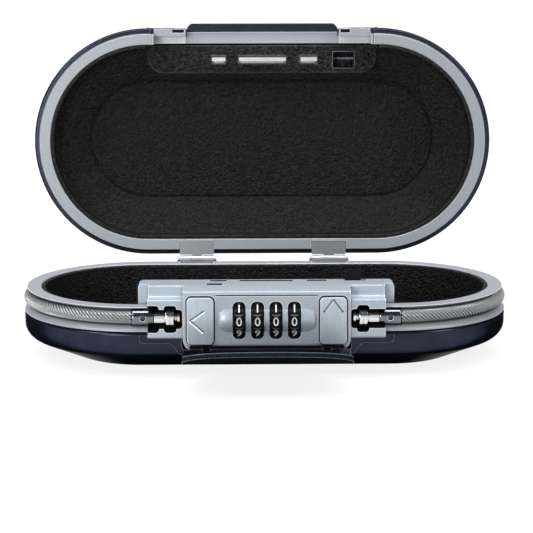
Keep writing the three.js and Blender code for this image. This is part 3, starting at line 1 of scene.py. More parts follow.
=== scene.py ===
"""A portable pill-shaped safe with its lid open, dressed over its CAD frame.

Lengths are millimetres. Heights are measured from the cable's plane, half way up
the closed safe. A Form is drawn that way, and leaving the workshop turns it into
the frame's metres, with the lid and the front cover swung to where they rest.
"""

from __future__ import annotations

import logging
import math
from collections.abc import Callable, Iterable, Sequence
from dataclasses import dataclass
from enum import Enum, StrEnum

import bmesh
import bpy
from mathutils import Matrix, Vector

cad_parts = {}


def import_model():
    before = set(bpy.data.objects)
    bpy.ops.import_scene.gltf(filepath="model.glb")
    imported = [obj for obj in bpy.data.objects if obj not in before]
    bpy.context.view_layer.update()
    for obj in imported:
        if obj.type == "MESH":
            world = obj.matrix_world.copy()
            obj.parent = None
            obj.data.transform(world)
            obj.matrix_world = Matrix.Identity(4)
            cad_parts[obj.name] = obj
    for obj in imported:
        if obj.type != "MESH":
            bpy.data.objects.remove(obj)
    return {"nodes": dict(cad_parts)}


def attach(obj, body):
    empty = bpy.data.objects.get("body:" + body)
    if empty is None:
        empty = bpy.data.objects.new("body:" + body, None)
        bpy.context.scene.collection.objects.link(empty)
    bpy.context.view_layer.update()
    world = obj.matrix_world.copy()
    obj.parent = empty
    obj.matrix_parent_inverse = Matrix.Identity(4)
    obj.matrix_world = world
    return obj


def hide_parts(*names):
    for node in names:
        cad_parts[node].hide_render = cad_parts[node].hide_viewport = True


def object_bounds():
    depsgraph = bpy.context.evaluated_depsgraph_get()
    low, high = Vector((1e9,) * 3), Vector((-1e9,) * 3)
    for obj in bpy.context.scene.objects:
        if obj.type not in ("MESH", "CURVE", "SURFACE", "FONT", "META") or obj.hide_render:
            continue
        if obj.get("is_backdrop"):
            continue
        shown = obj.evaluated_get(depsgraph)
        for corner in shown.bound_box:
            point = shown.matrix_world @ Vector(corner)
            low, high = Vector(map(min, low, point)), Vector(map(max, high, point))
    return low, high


Pair = tuple[float, float]
Triple = tuple[float, float, float]
Colour = tuple[float, float, float]

log = logging.getLogger("safe")

MM = 0.001
FRAME_PIXELS = 533

# The closed body
HALF_HEIGHT = 29.5
HALF_DEPTH = 59.5
HALF_LENGTH = 120.0
FRONT = -HALF_DEPTH
END_CENTRE = HALF_LENGTH - HALF_DEPTH
FIT_GAP = 0.3
RUN_GAP = 0.6
SEAM = 5.3
SHELL_WALL = 2.6
RIM_WIDTH = 8.4
LID_SHELL_EDGE = 7.4
BASE_TOP = SEAM - FIT_GAP / 2
LID_BOTTOM = SEAM + FIT_GAP / 2
CABLE_INSET = 2.9
CABLE_Y = FRONT + CABLE_INSET

# Where cutters reach, clear of the safe
CLEAR = 20.0
AHEAD = FRONT - CLEAR

# The lock case, which several pieces meet
PANEL_Y = -63.0
CASE_HALF_WIDTH = 39.6
WING_HALF_WIDTH = 56.2
FLANGE_HALF = 61.0
CASE_TOP = 14.8
CASE_ROOM = CASE_HALF_WIDTH + RUN_GAP
WING_ROOM = WING_HALF_WIDTH + RUN_GAP
BEZEL_WALL = 1.2
BEZEL_END = WING_ROOM + BEZEL_WALL
BEZEL_ROOM = BEZEL_END + FIT_GAP
DIAL_AXIS_Y = -55.8
DIAL_HEIGHT = -0.5
DIAL_AXIS = (DIAL_AXIS_Y, DIAL_HEIGHT)
DIAL_PITCH = 8.7
DIAL_COUNT = 4
FERRULE_END = 63.6
COVER_LUG_X = 28.5

# Height of the font's digits over its size
DIGIT_SHARE = 0.7

# Fineness of round forms, and the angles in degrees that part flat, smooth and sharp
PLAN_STEPS = 72
ROUND_SIDES = 64
ARC_STEPS = 8
SHARP_ANGLE = 32
FLAT_ANGLE = 0.5
PLANE_ANGLE = 0.3

# What the finishes share: the reach of the painted highlight and wear on edges, and the reach and colour of
# the painted shade in hollows
LIT_WORN_EDGE_REACH = 0.5
PAINTED_SHADE_REACH = 1.8
OCCLUSION_SAMPLES = 8
PAINTED_SHADE_COLOUR = (0.004, 0.004, 0.005, 1)
COAT_ROUGHNESS = 0.1


class Body(StrEnum):
    """The moving bodies of the frame."""

    BASE = "base"
    LID = "lid"
    COVER = "cover"
    OPEN_BUTTON = "open_button"
    CABLE_BUTTON = "cable_button"


class Slot(StrEnum):
    """Names of the safe's finishes, which no piece here is given."""

    SHELL = "shell"
    RIM = "rim"
    FOAM = "foam"
    ZINC = "zinc"
    BUTTON = "button"
    CHROME = "chrome"
    BLACK = "black"
    DIAL = "dial"
    COVER = "cover"
    CABLE = "cable"


class Side(Enum):
    """The two ends of the lock."""

    LEFT = -1
    RIGHT = 1

    @property
    def label(self) -> str:
        """The side's word in the names of pieces."""
        return self.name.lower()

    def span(self, near: float, far: float) -> Pair:
        """Returns a span along X on this side."""
        low, high = sorted((self.value * near, self.value * far))
        return low, high


class Surface(Enum):
    """The small texture of a finish."""

    PAINT = "paint"
    FLAKE = "flake"
    PEBBLE = "pebble"
    BRUSHED = "brushed"


@dataclass(frozen=True)
class Hinge:
    """An axis along X that a piece has swung about, from where it is drawn to where it rests."""

    y: float
    height: float
    degrees: float

    def swing(self) -> Matrix:
        """Returns the turn from drawn to resting, in millimetres."""
        there = Matrix.Translation((0, self.y, self.height))
        turn = Matrix.Rotation(math.radians(self.degrees), 4, "X")
        return there @ turn @ there.inverted()


FIXED = Hinge(0, 0, 0)
LID_HINGE = Hinge(62.2, SEAM, -92)
COVER_HINGE = Hinge(-65.15, -14.1, 83)
RESTING = {Body.LID: LID_HINGE, Body.COVER: COVER_HINGE}


def grow(span: Pair, by: float) -> Pair:
    """Returns a span lengthened by so much at each end."""
    return span[0] - by, span[1] + by


def arc(centre: Pair, radii: Pair, start: float, end: float, steps: int = ARC_STEPS) -> list[Pair]:
    """Points along part of an ellipse.

    Args:
        centre: Its centre.
        radii: Its two half axes.
        start: First angle, in degrees.
        end: Last angle, in degrees.
        steps: Steps between them.

    Returns:
        The points, both ends among them.
    """
    angles = [math.radians(start + (end - start) * i / steps) for i in range(steps + 1)]
    return [(centre[0] + radii[0] * math.cos(a), centre[1] + radii[1] * math.sin(a)) for a in angles]


def about(half: float, middle: float = 0.0) -> Pair:
    """Returns a span that reaches so far to each side of its middle."""
    return middle - half, middle + half


def circle(centre: Pair, radius: float, sides: int) -> list[Pair]:
    """Returns the points of a circle."""
    return arc(centre, (radius, radius), 0, 360 * (sides - 1) / sides, sides - 1)


def even_turns(sides: int) -> list[float]:
    """Returns even angles round a circle, in radians."""
    return [2 * math.pi * side / sides for side in range(sides)]


def heading(path: Sequence[Vector], i: int) -> Vector:
    """Returns the direction of a line at one of its points."""
    return (path[min(i + 1, len(path) - 1)] - path[max(i - 1, 0)]).normalized()


def rounded(across: Pair, up: Pair, corners: Sequence[Pair], steps: int = ARC_STEPS) -> list[Pair]:
    """A rectangle with rounded corners.

    Args:
        across: Its span in the first direction.
        up: Its span in the second direction.
        corners: Radii of the four corners, from low left anticlockwise.
        steps: Steps in each corner.

    Returns:
        Its outline, anticlockwise.
    """
    low_left, low_right, high_right, high_left = corners
    places = [
        ((across[0] + low_left[0], up[0] + low_left[1]), low_left, 180),
        ((across[1] - low_right[0], up[0] + low_right[1]), low_right, 270),
        ((across[1] - high_right[0], up[1] - high_right[1]), high_right, 0),
        ((across[0] + high_left[0], up[1] - high_left[1]), high_left, 90),
    ]
    outline: list[Pair] = []
    for centre, radii, start in places:
        if min(radii) > 0:
            outline += arc(centre, radii, start, start + 90, steps)
        else:
            outline.append(centre)
    return outline


def corner_radii(low: float, high: float) -> list[Pair]:
    """Returns four corners, with one radius for the two low ones and one for the high ones."""
    return [(low, low)] * 2 + [(high, high)] * 2


def alike(radius: float) -> list[Pair]:
    """Returns four corners of one radius."""
    return corner_radii(radius, radius)


def eased(points: Sequence[Pair], radii: dict[int, float], steps: int = 5) -> list[Pair]:
    """An open line whose named corners are rounded off.

    Args:
        points: The line.
        radii: The radius at each corner that is rounded, by its place in the line.
        steps: Steps in each rounding.

    Returns:
        The line with its roundings.
    """
    result: list[Pair] = []
    for i, point in enumerate(points):
        if i not in radii:
            result.append(point)
            continue
        here, before, after = Vector(point), Vector(points[i - 1]), Vector(points[(i + 1) % len(points)])
        back, ahead = (before - here).normalized(), (after - here).normalized()
        half = back.angle(ahead) / 2
        reach = min(radii[i] / math.tan(half), (before - here).length * 0.49, (after - here).length * 0.49)
        start, end = here + back * reach, here + ahead * reach
        for step in range(steps + 1):
            t = step / steps
            blend = start * (1 - t) ** 2 + here * 2 * t * (1 - t) + end * t**2
            result.append((blend.x, blend.y))
    return result


def loft_faces(rings: int, count: int, start: int = 0, closed: bool = False) -> list[list[int]]:
    """Faces through a row of rings.

    Args:
        rings: How many rings there are.
        count: Points in each.
        start: Number of the first ring's first point.
        closed: Whether the last ring joins the first, and otherwise both are capped.

    Returns:
        The points of each face.
    """
    faces = []
    for ring in range(rings if closed else rings - 1):
        low, high = start + ring * count, start + (ring + 1) % rings * count
        for i in range(count):
            following = (i + 1) % count
            faces.append([low + i, low + following, high + following, high + i])
    if not closed:
        last = start + (rings - 1) * count
        faces += [[start + i for i in reversed(range(count))], [last + i for i in range(count)]]
    return faces


def placed(name: str, data: bpy.types.ID) -> bpy.types.Object:
    """Returns a new object in the scene."""
    obj = bpy.data.objects.new(name, data)
    bpy.context.scene.collection.objects.link(obj)
    return obj


class Form:
    """One closed body in the making, drawn in millimetres."""

    def __init__(self, name: str, points: Iterable[Triple], faces: Iterable[Sequence[int]]) -> None:
        """Makes the body.

        Args:
            name: Its name.
            points: Its corners.
            faces: Corners of each face, anticlockwise from outside.
        """
        mesh = bpy.data.meshes.new(name)
        mesh.from_pydata(list(points), [], [list(face) for face in faces])
        mesh.validate()
        self.obj = placed(name, mesh)
        self.hollow_faces: set[int] = set()

    @classmethod
    def lofted(cls, name: str, rings: Sequence[Sequence[Triple]], closed: bool = False) -> Form:
        """A body through a row of rings with the same number of points.

        Args:
            name: Its name.
            rings: The rings, each anticlockwise seen from the last one's side.
            closed: Whether the last ring joins the first, and otherwise both are capped.

        Returns:
            The body.
        """
        points = [point for ring in rings for point in ring]
        return cls(name, points, loft_faces(len(rings), len(rings[0]), closed=closed))

    @classmethod
    def lofts(cls, name: str, bodies: Iterable[Sequence[Sequence[Triple]]]) -> Form:
        """Several bodies in one form, each through its own row of rings.

        Args:
            name: The form's name.
            bodies: The rings of each body.

        Returns:
            The form, with its faces turned outward.
        """
        points: list[Triple] = []
        faces: list[list[int]] = []
        for rings in bodies:
            faces += loft_faces(len(rings), len(rings[0]), len(points))
            points += [point for ring in rings for point in ring]
        return cls(name, points, faces).facing_out()

    @classmethod
    def pill(cls, name: str, section: Sequence[Pair], closed: bool = False) -> Form:
        """A section of inset and height swept round the pill's plan, its outer side running upward."""
        return cls.lofted(name, [pill_ring(inset, height) for inset, height in section], closed)

    @classmethod
    def along_x(cls, name: str, outline: Sequence[Pair], span: Pair) -> Form:
        """An outline in y and height, drawn out along X."""
        return cls.lofted(name, [[(x, y, z) for y, z in outline] for x in span])

    @classmethod
    def along_y(cls, name: str, outline: Sequence[Pair], span: Pair) -> Form:
        """An outline in x and height, drawn out along Y."""
        return cls.lofted(name, [[(x, y, z) for x, z in outline] for y in reversed(span)])

    @classmethod
    def along_z(cls, name: str, outline: Sequence[Pair], span: Pair) -> Form:
        """An outline in x and y, drawn upward."""
        return cls.lofted(name, [[(x, y, z) for x, y in outline] for z in span])

    @classmethod
    def block(cls, name: str, x: Pair, y: Pair, z: Pair) -> Form:
        """A block between three spans."""
        return cls.along_z(name, rounded(x, y, alike(0)), z)

    @classmethod
    def turned(cls, name: str, stations: Sequence[Pair], centre: Pair, sides: int = ROUND_SIDES) -> Form:
        """A turned bar along X.

        Args:
            name: Its name.
            stations: Its profile, as x and radius with x rising.
            centre: Its axis, in y and height.
            sides: Sides of each ring.

        Returns:
            The body.
        """
        rings = [[(x, y, z) for y, z in circle(centre, radius, sides)] for x, radius in stations]
        return cls.lofted(name, rings)

    @classmethod
    def bar(cls, name: str, x: Pair, radius: float, centre: Pair, sides: int = ROUND_SIDES) -> Form:
        """A plain round bar along X, between two ends."""
        return cls.turned(name, [(end, radius) for end in x], centre, sides)

    def combined(self, operation: str, others: Iterable[Form]) -> Form:
        """Changes this body by others, which are used up.

        Args:
            operation: UNION, DIFFERENCE or INTERSECT.
            others: The other bodies.

        Returns:
            This body.
        """
        for other in others:
            modifier = self.obj.modifiers.new(operation, "BOOLEAN")
            modifier.operation = operation
            modifier.solver = "MANIFOLD"
            modifier.object = other.obj
            self.settle()
            bpy.data.objects.remove(other.obj)
        return self

    def cut(self, *others: Form) -> Form:
        """Takes other bodies out of this one."""
        return self.combined("DIFFERENCE", others)

    def join(self, *others: Form) -> Form:
        """Adds other bodies to this one."""
        return self.combined("UNION", others)

    def within(self, *others: Form) -> Form:
        """Keeps only what lies inside each of the others."""
        return self.combined("INTERSECT", others)

    def settle(self) -> None:
        """Applies the body's modifiers."""
        bpy.context.view_layer.update()
        graph = bpy.context.evaluated_depsgraph_get()
        mesh = bpy.data.meshes.new_from_object(self.obj.evaluated_get(graph))
        self.obj.modifiers.clear()
        self.obj.data = mesh

    def softened(self, width: float, segments: int = 2, angle: float = 30) -> Form:
        """Rounds off the edges that turn by more than an angle.

        Args:
            width: Width of the rounding.
            segments: Steps in it.
            angle: The angle, in degrees.

        Returns:
            This body.
        """
        add_rounding(self.obj, width, segments, angle)
        self.settle()
        return self

    def hollow_where(self, test: Callable[[Vector, Vector], bool]) -> Form:
        """Marks the faces whose middle and normal pass a test, for a second finish with painted light or
        shade.
        """
        faces = self.obj.data.polygons
        self.hollow_faces = {face.index for face in faces if test(face.center, face.normal)}
        return self

    def facing_out(self) -> Form:
        """Turns every face outward."""
        work = bmesh.new()
        work.from_mesh(self.obj.data)
        bmesh.ops.recalc_face_normals(work, faces=work.faces)
        work.to_mesh(self.obj.data)
        work.free()
        return self


def add_rounding(obj: bpy.types.Object, width: float, segments: int, angle: float) -> None:
    """Gives an object rounded edges by modifiers.

    Args:
        obj: The object.
        width: Width of the rounding, in the object's own unit.
        segments: Steps in it.
        angle: Edges that turn by more are rounded, in degrees.
    """
    flat = obj.modifiers.new("flat faces", "DECIMATE")
    flat.decimate_type = "DISSOLVE"
    flat.angle_limit = math.radians(FLAT_ANGLE)
    edge = obj.modifiers.new("rounded edges", "BEVEL")
    edge.width = width
    edge.segments = segments
    edge.limit_method = "ANGLE"
    edge.angle_limit = math.radians(angle)
    edge.use_clamp_overlap = True


def merge_flat(mesh: bpy.types.Mesh) -> None:
    """Merges the faces of a mesh that lie in one plane and share a material."""
    work = bmesh.new()
    work.from_mesh(mesh)
    bmesh.ops.dissolve_limit(
        work, angle_limit=math.radians(PLANE_ANGLE), verts=work.verts, edges=work.edges, delimit={"MATERIAL"})
    work.to_mesh(mesh)
    work.free()


def even_shading(obj: bpy.types.Object) -> None:
    """Lets large flat faces keep their own shading beside rounded edges."""
    even = obj.modifiers.new("even shading", "WEIGHTED_NORMAL")
    even.keep_sharp = True


def pill_ring(inset: float, height: float) -> list[Triple]:
    """Returns one ring round the pill's plan, drawn in by an inset, anticlockwise from above."""
    radius = HALF_DEPTH - inset
    ring = []
    for side in (1, -1):
        for step in range(PLAN_STEPS + 1):
            angle = math.pi * (step / PLAN_STEPS - side / 2)
            ring.append((side * END_CENTRE + radius * math.cos(angle), radius * math.sin(angle), height))
    return ring


@dataclass(frozen=True)
class Crown:
    """The shells' profile: an upright wall, a round corner, a long slope and a flat."""

    corner: float = 7.6
    slope: float = 23.2
    flat_inset: float = 27.5
    crease: float = 5.0
    steps: int = 10

    @property
    def lean(self) -> float:
        """The slope's angle in radians."""
        return math.radians(self.slope)

    @property
    def centre(self) -> float:
        """Height of the round corner's centre."""
        drop = (self.flat_inset - self.corner * (1 - math.sin(self.lean))) * math.tan(self.lean)
        return HALF_HEIGHT - drop - self.corner * math.cos(self.lean)

    def flat(self, offset: float) -> Pair:
        """Returns the edge of the flat, moved inward."""
        return self.flat_inset + offset * math.tan(self.lean / 2), HALF_HEIGHT - offset

    def line(self, offset: float, start: float) -> list[Pair]:
        """The profile moved inward.

        Args:
            offset: How far inward.
            start: Height that the wall starts at.

        Returns:
            Points of inset and height, from the wall to the edge of the flat.
        """
        radius = self.corner - offset
        points = [(offset, start)]
        for step in range(self.steps + 1):
            angle = (math.pi / 2 - self.lean) * step / self.steps
            points.append((self.corner - radius * math.cos(angle), self.centre + radius * math.sin(angle)))
        flat = self.flat(offset)
        inner = (flat[0] + self.crease, flat[1])
        return eased([*points, flat, inner], {len(points): self.crease * 2})

    def front_at(self, height: float) -> float:
        """Returns where the outside meets a height, as an inset from the front."""
        line = self.line(0, 0)
        for (near, low), (far, high) in zip(line, line[1:]):
            if low <= abs(height) <= high:
                return near + (far - near) * (abs(height) - low) / max(high - low, 1e-6)
        return 0.0


CROWN = Crown()


def rolled(line: Sequence[Pair], radius: float = 1.5) -> list[Pair]:
    """Returns a shell's outside with its open edge rolled in."""
    height = line[0][1]
    return [*reversed(arc((radius, height + radius), (radius, radius), 180, 260, 6)), *line[1:]]


def below(points: Iterable[Pair]) -> list[Pair]:
    """Returns points of inset and height turned upside down."""
    return [(inset, -height) for inset, height in points]


class Wiring:
    """One node tree and the few moves that a finish needs."""

    def __init__(self, tree: bpy.types.NodeTree) -> None:
        """Takes a node tree."""
        self.tree = tree

    def fill(self, node: bpy.types.Node, values: dict[str, object]) -> bpy.types.Node:
        """Sets a node's inputs by name or number, and links those that get a socket."""
        for key, value in values.items():
            socket = node.inputs[int(key)] if key.isdigit() else node.inputs[key]
            if isinstance(value, bpy.types.NodeSocket):
                self.tree.links.new(value, socket)
            else:
                socket.default_value = value
        return node

    def node(self, kind: str, values: dict[str, object] | None = None, **settings: object) -> bpy.types.Node:
        """Adds a node.

        Args:
            kind: The node's type name.
            values: What its inputs start with, a socket to be linked among them.
            **settings: Its own properties.

        Returns:
            The node.
        """
        made = self.tree.nodes.new(kind)
        for key, value in settings.items():
            setattr(made, key, value)
        return self.fill(made, values or {})

    def math(self, operation: str, *values: object) -> bpy.types.NodeSocket:
        """Adds a Math node and returns its output."""
        wired = {str(i): value for i, value in enumerate(values)}
        return self.node("ShaderNodeMath", wired, operation=operation).outputs[0]

    def mean(self, first: bpy.types.NodeSocket, second: bpy.types.NodeSocket) -> bpy.types.NodeSocket:
        """Returns the mean of two values."""
        return self.math("MULTIPLY_ADD", first, 0.5, self.math("MULTIPLY", second, 0.5))

    def noise(self, place: bpy.types.NodeSocket, scale: float, **values: float) -> bpy.types.NodeSocket:
        """Adds a Noise texture and returns its value."""
        return self.node("ShaderNodeTexNoise", {"Vector": place, "Scale": scale, **values}).outputs["Fac"]

    def ranged(self, value: bpy.types.NodeSocket, low: object = 0.0, high: object = 1.0,
               source: Pair = (0.0, 1.0)) -> bpy.types.NodeSocket:
        """A value spread between two others.

        Args:
            value: The value.
            low: What the source's first end becomes.
            high: What its second end becomes.
            source: The range that the value comes from.

        Returns:
            The spread value.
        """
        ends = {"From Min": source[0], "From Max": source[1], "To Min": low, "To Max": high}
        return self.node("ShaderNodeMapRange", {"Value": value, **ends}).outputs["Result"]

    def mixed(self, factor: bpy.types.NodeSocket, first: object, second: object) -> bpy.types.NodeSocket:
        """Returns two colours mixed."""
        values = {"Factor": factor, "6": first, "7": second}
        return self.node("ShaderNodeMix", values, data_type="RGBA").outputs[2]

    def shared(self, group: bpy.types.NodeTree, **values: float) -> bpy.types.bpy_prop_collection:
        """Places a shared group with its own values and returns its outputs."""
        return self.node("ShaderNodeGroup", values, node_tree=group).outputs


class Group(Wiring):
    """A shader node group in the making, whose sockets are plain values."""

    def __init__(self, name: str, inputs: dict[str, float], outputs: Sequence[str]) -> None:
        """Makes the group with its sockets.

        Args:
            name: The group's name.
            inputs: Its inputs with what they start with.
            outputs: Its outputs.
        """
        super().__init__(bpy.data.node_groups.new(name, "ShaderNodeTree"))
        for label, value in inputs.items():
            socket = self.tree.interface.new_socket(label, in_out="INPUT", socket_type="NodeSocketFloat")
            socket.default_value = value
        for label in outputs:
            self.tree.interface.new_socket(label, in_out="OUTPUT", socket_type="NodeSocketFloat")
        self.taken = self.tree.nodes.new("NodeGroupInput").outputs
        self.leave = self.tree.nodes.new("NodeGroupOutput")

    def place(self, stretch: Triple = (1, 1, 1)) -> bpy.types.NodeSocket:
        """Places scaled by the group's Size in millimetres.

        Args:
            stretch: How many sizes a grain is long in each direction.

        Returns:
            The scaled places.
        """
        here = self.node("ShaderNodeTexCoord").outputs["Object"]
        per_size = tuple(1 / (MM * part) for part in stretch)
        even = self.node("ShaderNodeVectorMath", {"0": here, "1": per_size}, operation="MULTIPLY").outputs[0]
        by_size = self.math("DIVIDE", 1.0, self.taken["Size"])
        return self.node("ShaderNodeVectorMath", {"0": even, "Scale": by_size}, operation="SCALE").outputs[0]

    def give(self, **values: bpy.types.NodeSocket) -> bpy.types.NodeTree:
        """Links the outputs by name and returns the finished group."""
        for label, value in values.items():
            self.tree.links.new(value, self.leave.inputs[label])
        return self.tree


class SurfaceGroups:
    """The node groups that the finishes share, each made once."""

    def __init__(self) -> None:
        """Makes the groups."""
        self.surfaces = {
            Surface.PAINT: self.paint(),
            Surface.FLAKE: self.flake(),
            Surface.PEBBLE: self.pebble(),
            Surface.BRUSHED: self.brushed(),
        }
        self.handling = self.handling_marks()
        self.edges = self.edges_and_hollows()

    def paint(self) -> bpy.types.NodeTree:
        """Makes the faint orange peel of sprayed paint."""
        group = Group("sprayed paint", {"Size": 1.0}, ("Height", "Shade"))
        place = group.place()
        peel = group.noise(place, 1.0, Detail=2.0, Roughness=0.4)
        return group.give(Height=peel, Shade=group.noise(place, 0.06, Detail=3.0))

    def flake(self) -> bpy.types.NodeTree:
        """Makes the fine flakes of metallic paint and of a cast surface."""
        group = Group("metal flake", {"Size": 0.3}, ("Height", "Shade"))
        place = group.place()
        cells = group.node("ShaderNodeTexVoronoi", {"Vector": place, "Scale": 1.0}).outputs["Color"]
        shade = group.node("ShaderNodeSeparateColor", {"Color": cells}).outputs["Red"]
        soft = group.noise(place, 0.5, Detail=4.0)
        return group.give(Height=soft, Shade=group.mean(shade, soft))

    def pebble(self) -> bpy.types.NodeTree:
        """Makes the pebbled skin of moulded foam, with bright specks in its shade."""
        group = Group("pebbled foam", {"Size": 1.0}, ("Height", "Shade"))
        place = group.place()
        warp = group.node("ShaderNodeTexNoise", {"Vector": place, "Scale": 0.7, "Detail": 3.0})
        bent = group.node(
            "ShaderNodeVectorMath", {"0": warp.outputs["Color"], "1": place}, operation="ADD").outputs[0]
        cells = group.node(
            "ShaderNodeTexVoronoi", {"Vector": bent, "Scale": 1.0, "Smoothness": 0.6}, feature="SMOOTH_F1")
        domes = group.math("SUBTRACT", 1.0, cells.outputs["Distance"])
        fine = group.noise(place, 3.0, Detail=4.0)
        speck = group.noise(place, 0.9, Detail=3.0, Roughness=0.7)
        return group.give(
            Height=group.math("MULTIPLY_ADD", fine, 0.35, domes),
            Shade=group.ranged(speck, source=(0.42, 0.68)))

    def brushed(self) -> bpy.types.NodeTree:
        """Makes fine upright brush strokes under a slow cloud."""
        group = Group("brush strokes", {"Size": 0.2}, ("Height", "Shade"))
        strokes = group.noise(group.place((1, 1, 40)), 1.0, Detail=3.0)
        cloud = group.noise(group.place((12, 12, 45)), 1.0, Detail=2.0)
        return group.give(Height=strokes, Shade=group.mean(strokes, cloud))

    def handling_marks(self) -> bpy.types.NodeTree:
        """Makes the slow change of gloss that handling leaves."""
        group = Group("handling marks", {"Size": 18.0, "Smooth": 0.3, "Dull": 0.45}, ("Roughness",))
        cloud = group.noise(group.place(), 1.0, Detail=5.0, Roughness=0.6)
        return group.give(Roughness=group.ranged(cloud, group.taken["Smooth"], group.taken["Dull"]))

    def edges_and_hollows(self) -> bpy.types.NodeTree:
        """Makes a mask of the outer edges for painted highlight and wear, broken up as by handling, and a
        mask of the hollows for painted shade.
        """
        group = Group(
            "edges and hollows", {"Strength": 0.5, "Depth": 0.5, "Size": 1.0}, ("Edges", "Hollows"))
        near = group.node(
            "ShaderNodeAmbientOcclusion", {"Distance": LIT_WORN_EDGE_REACH * MM}, samples=OCCLUSION_SAMPLES,
            inside=True, only_local=True)
        edge = group.ranged(near.outputs["AO"], source=(0.95, 0.6))
        open_air = group.node(
            "ShaderNodeAmbientOcclusion", {"Distance": PAINTED_SHADE_REACH * MM}, samples=OCCLUSION_SAMPLES)
        painted_shade = group.ranged(open_air.outputs["AO"], source=(0.8, 0.35))
        broken = group.ranged(group.noise(group.place(), 0.4, Detail=4.0), 0.4, 1.0)
        lit_and_worn = group.math("MULTIPLY", edge, broken)
        return group.give(
            Edges=group.math("MULTIPLY", lit_and_worn, group.taken["Strength"]),
            Hollows=group.math("MULTIPLY", painted_shade, group.taken["Depth"]))


@dataclass(frozen=True)
class Finish:
    """One finish of the safe.

    Colours are linear. The grain's size and depth are millimetres. The tone is how far the
    grain's shade darkens and lightens the colour, and the fleck lightens it further. The edge
    colour is painted highlight, and partly wear, laid on outer edges as strongly as edges says;
    hollows says how strongly the hollows take painted shade.
    """

    name: str
    colour: Colour
    edge_colour: Colour
    smooth: float
    dull: float
    surface: Surface
    grain: float
    depth: float
    tone: float = 0.15
    fleck: float = 0.0
    metallic: float = 0.0
    specular: float = 0.5
    edge_coat: float = 0.0
    rim_gloss: float = 1.0
    alpha: float = 1.0
    edges: float = 0.5
    hollows: float = 0.35

    def toned(self, share: float) -> tuple[float, ...]:
        """Returns the colour made lighter or darker by a factor."""
        return *(part * share for part in self.colour), 1

    def build(self, groups: SurfaceGroups) -> bpy.types.Material:
        """Makes the material.

        Args:
            groups: The shared node groups.

        Returns:
            The material.
        """
        material = bpy.data.materials.new(self.name)
        material.use_nodes = True
        wires = Wiring(material.node_tree)
        grain = wires.shared(groups.surfaces[self.surface], Size=self.grain)
        marks = wires.shared(groups.handling, Smooth=self.smooth, Dull=self.dull)
        masks = wires.shared(groups.edges, Strength=self.edges, Depth=self.hollows)
        light = self.toned(1 + self.tone + self.fleck)
        body = wires.mixed(grain["Shade"], self.toned(1 - self.tone), light)
        # Painted highlight, partly wear: the outer edges are lightened towards the edge colour.
        lit_and_worn = wires.mixed(masks["Edges"], body, (*self.edge_colour, 1))
        bump = wires.node(
            "ShaderNodeBump", {"Height": grain["Height"], "Strength": 1.0, "Distance": self.depth * MM})
        shader = wires.fill(material.node_tree.nodes["Principled BSDF"], {
            # Painted shade: the hollows are darkened towards a near-black colour.
            "Base Color": wires.mixed(masks["Hollows"], lit_and_worn, PAINTED_SHADE_COLOUR),
            "Roughness": marks["Roughness"],
            "Normal": bump.outputs["Normal"],
            "Metallic": self.metallic,
            "Specular IOR Level": self.specular,
            "Specular Tint": (self.rim_gloss, self.rim_gloss, self.rim_gloss, 1),
            "Coat Roughness": COAT_ROUGHNESS,
            "Alpha": self.alpha,
        })
        if self.edge_coat:
            wires.fill(shader, {"Coat Weight": wires.math("MULTIPLY", masks["Edges"], self.edge_coat)})
        return material
# Each finish's second colour is painted highlight, partly wear, on its outer edges; hollows sets its painted
# shade.
SHELL_PAINT = Finish(
    "navy shell paint", (0.027, 0.031, 0.049), (0.17, 0.18, 0.22), 0.16, 0.26, Surface.PAINT, 0.5, 0.012,
    metallic=0.75, specular=0.0, rim_gloss=0.0, edges=1.0, edge_coat=0.8, tone=0.35, hollows=0.3)
RIM_PAINT = Finish(
    "silver rim paint", (0.345, 0.365, 0.4), (0.82, 0.84, 0.87), 0.34, 0.46, Surface.FLAKE, 0.2, 0.012,
    metallic=0.15, specular=0.3, tone=0.2, edges=0.9, hollows=0.45)
# Painted light: the rim paint about twice as bright, for the side blocks' floors that the lip shades.
BEZEL_FLOOR_PAINTED_LIGHT = Finish(
    "rim paint with painted light", (0.68, 0.705, 0.75), (0.85, 0.87, 0.9), 0.34, 0.46, Surface.FLAKE, 0.2,
    0.012, metallic=0.15, specular=0.3, tone=0.15, edges=0.5, hollows=0.1)
CAST_ZINC = Finish(
    "satin cast zinc", (0.4, 0.465, 0.53), (1.0, 1.0, 1.0), 0.26, 0.4, Surface.FLAKE, 0.3, 0.02,
    metallic=0.15, specular=0.6, tone=0.2, edges=1.0, hollows=1.0)
BRUSHED_STEEL = Finish(
    "brushed button steel", (0.48, 0.55, 0.615), (1.0, 1.0, 1.0), 0.26, 0.36, Surface.BRUSHED, 0.2, 0.02,
    metallic=0.4, specular=0.5, tone=0.3, edges=1.0, hollows=1.0)
PLAIN_STEEL = Finish(
    "plain steel", (0.36, 0.37, 0.39), (0.6, 0.61, 0.63), 0.35, 0.5, Surface.FLAKE, 0.2, 0.01, metallic=0.9,
    edges=0.3)
STRIKE_STEEL = Finish(
    "bright strike steel", (0.5, 0.505, 0.52), (0.8, 0.81, 0.82), 0.28, 0.42, Surface.FLAKE, 0.35, 0.05,
    metallic=0.9, tone=0.3, edges=0.5, hollows=0.9)
BRIGHT_NICKEL = Finish(
    "bright nickel", (0.66, 0.665, 0.68), (0.95, 0.95, 0.95), 0.08, 0.18, Surface.PAINT, 0.8, 0.006,
    metallic=1.0, tone=0.1, edges=0.6, hollows=0.5)
DARK_NICKEL = Finish(
    "darker ferrule nickel", (0.16, 0.17, 0.19), (0.8, 0.81, 0.83), 0.12, 0.24, Surface.PAINT, 0.8, 0.006,
    metallic=1.0, tone=0.2, edges=0.9, hollows=1.0)
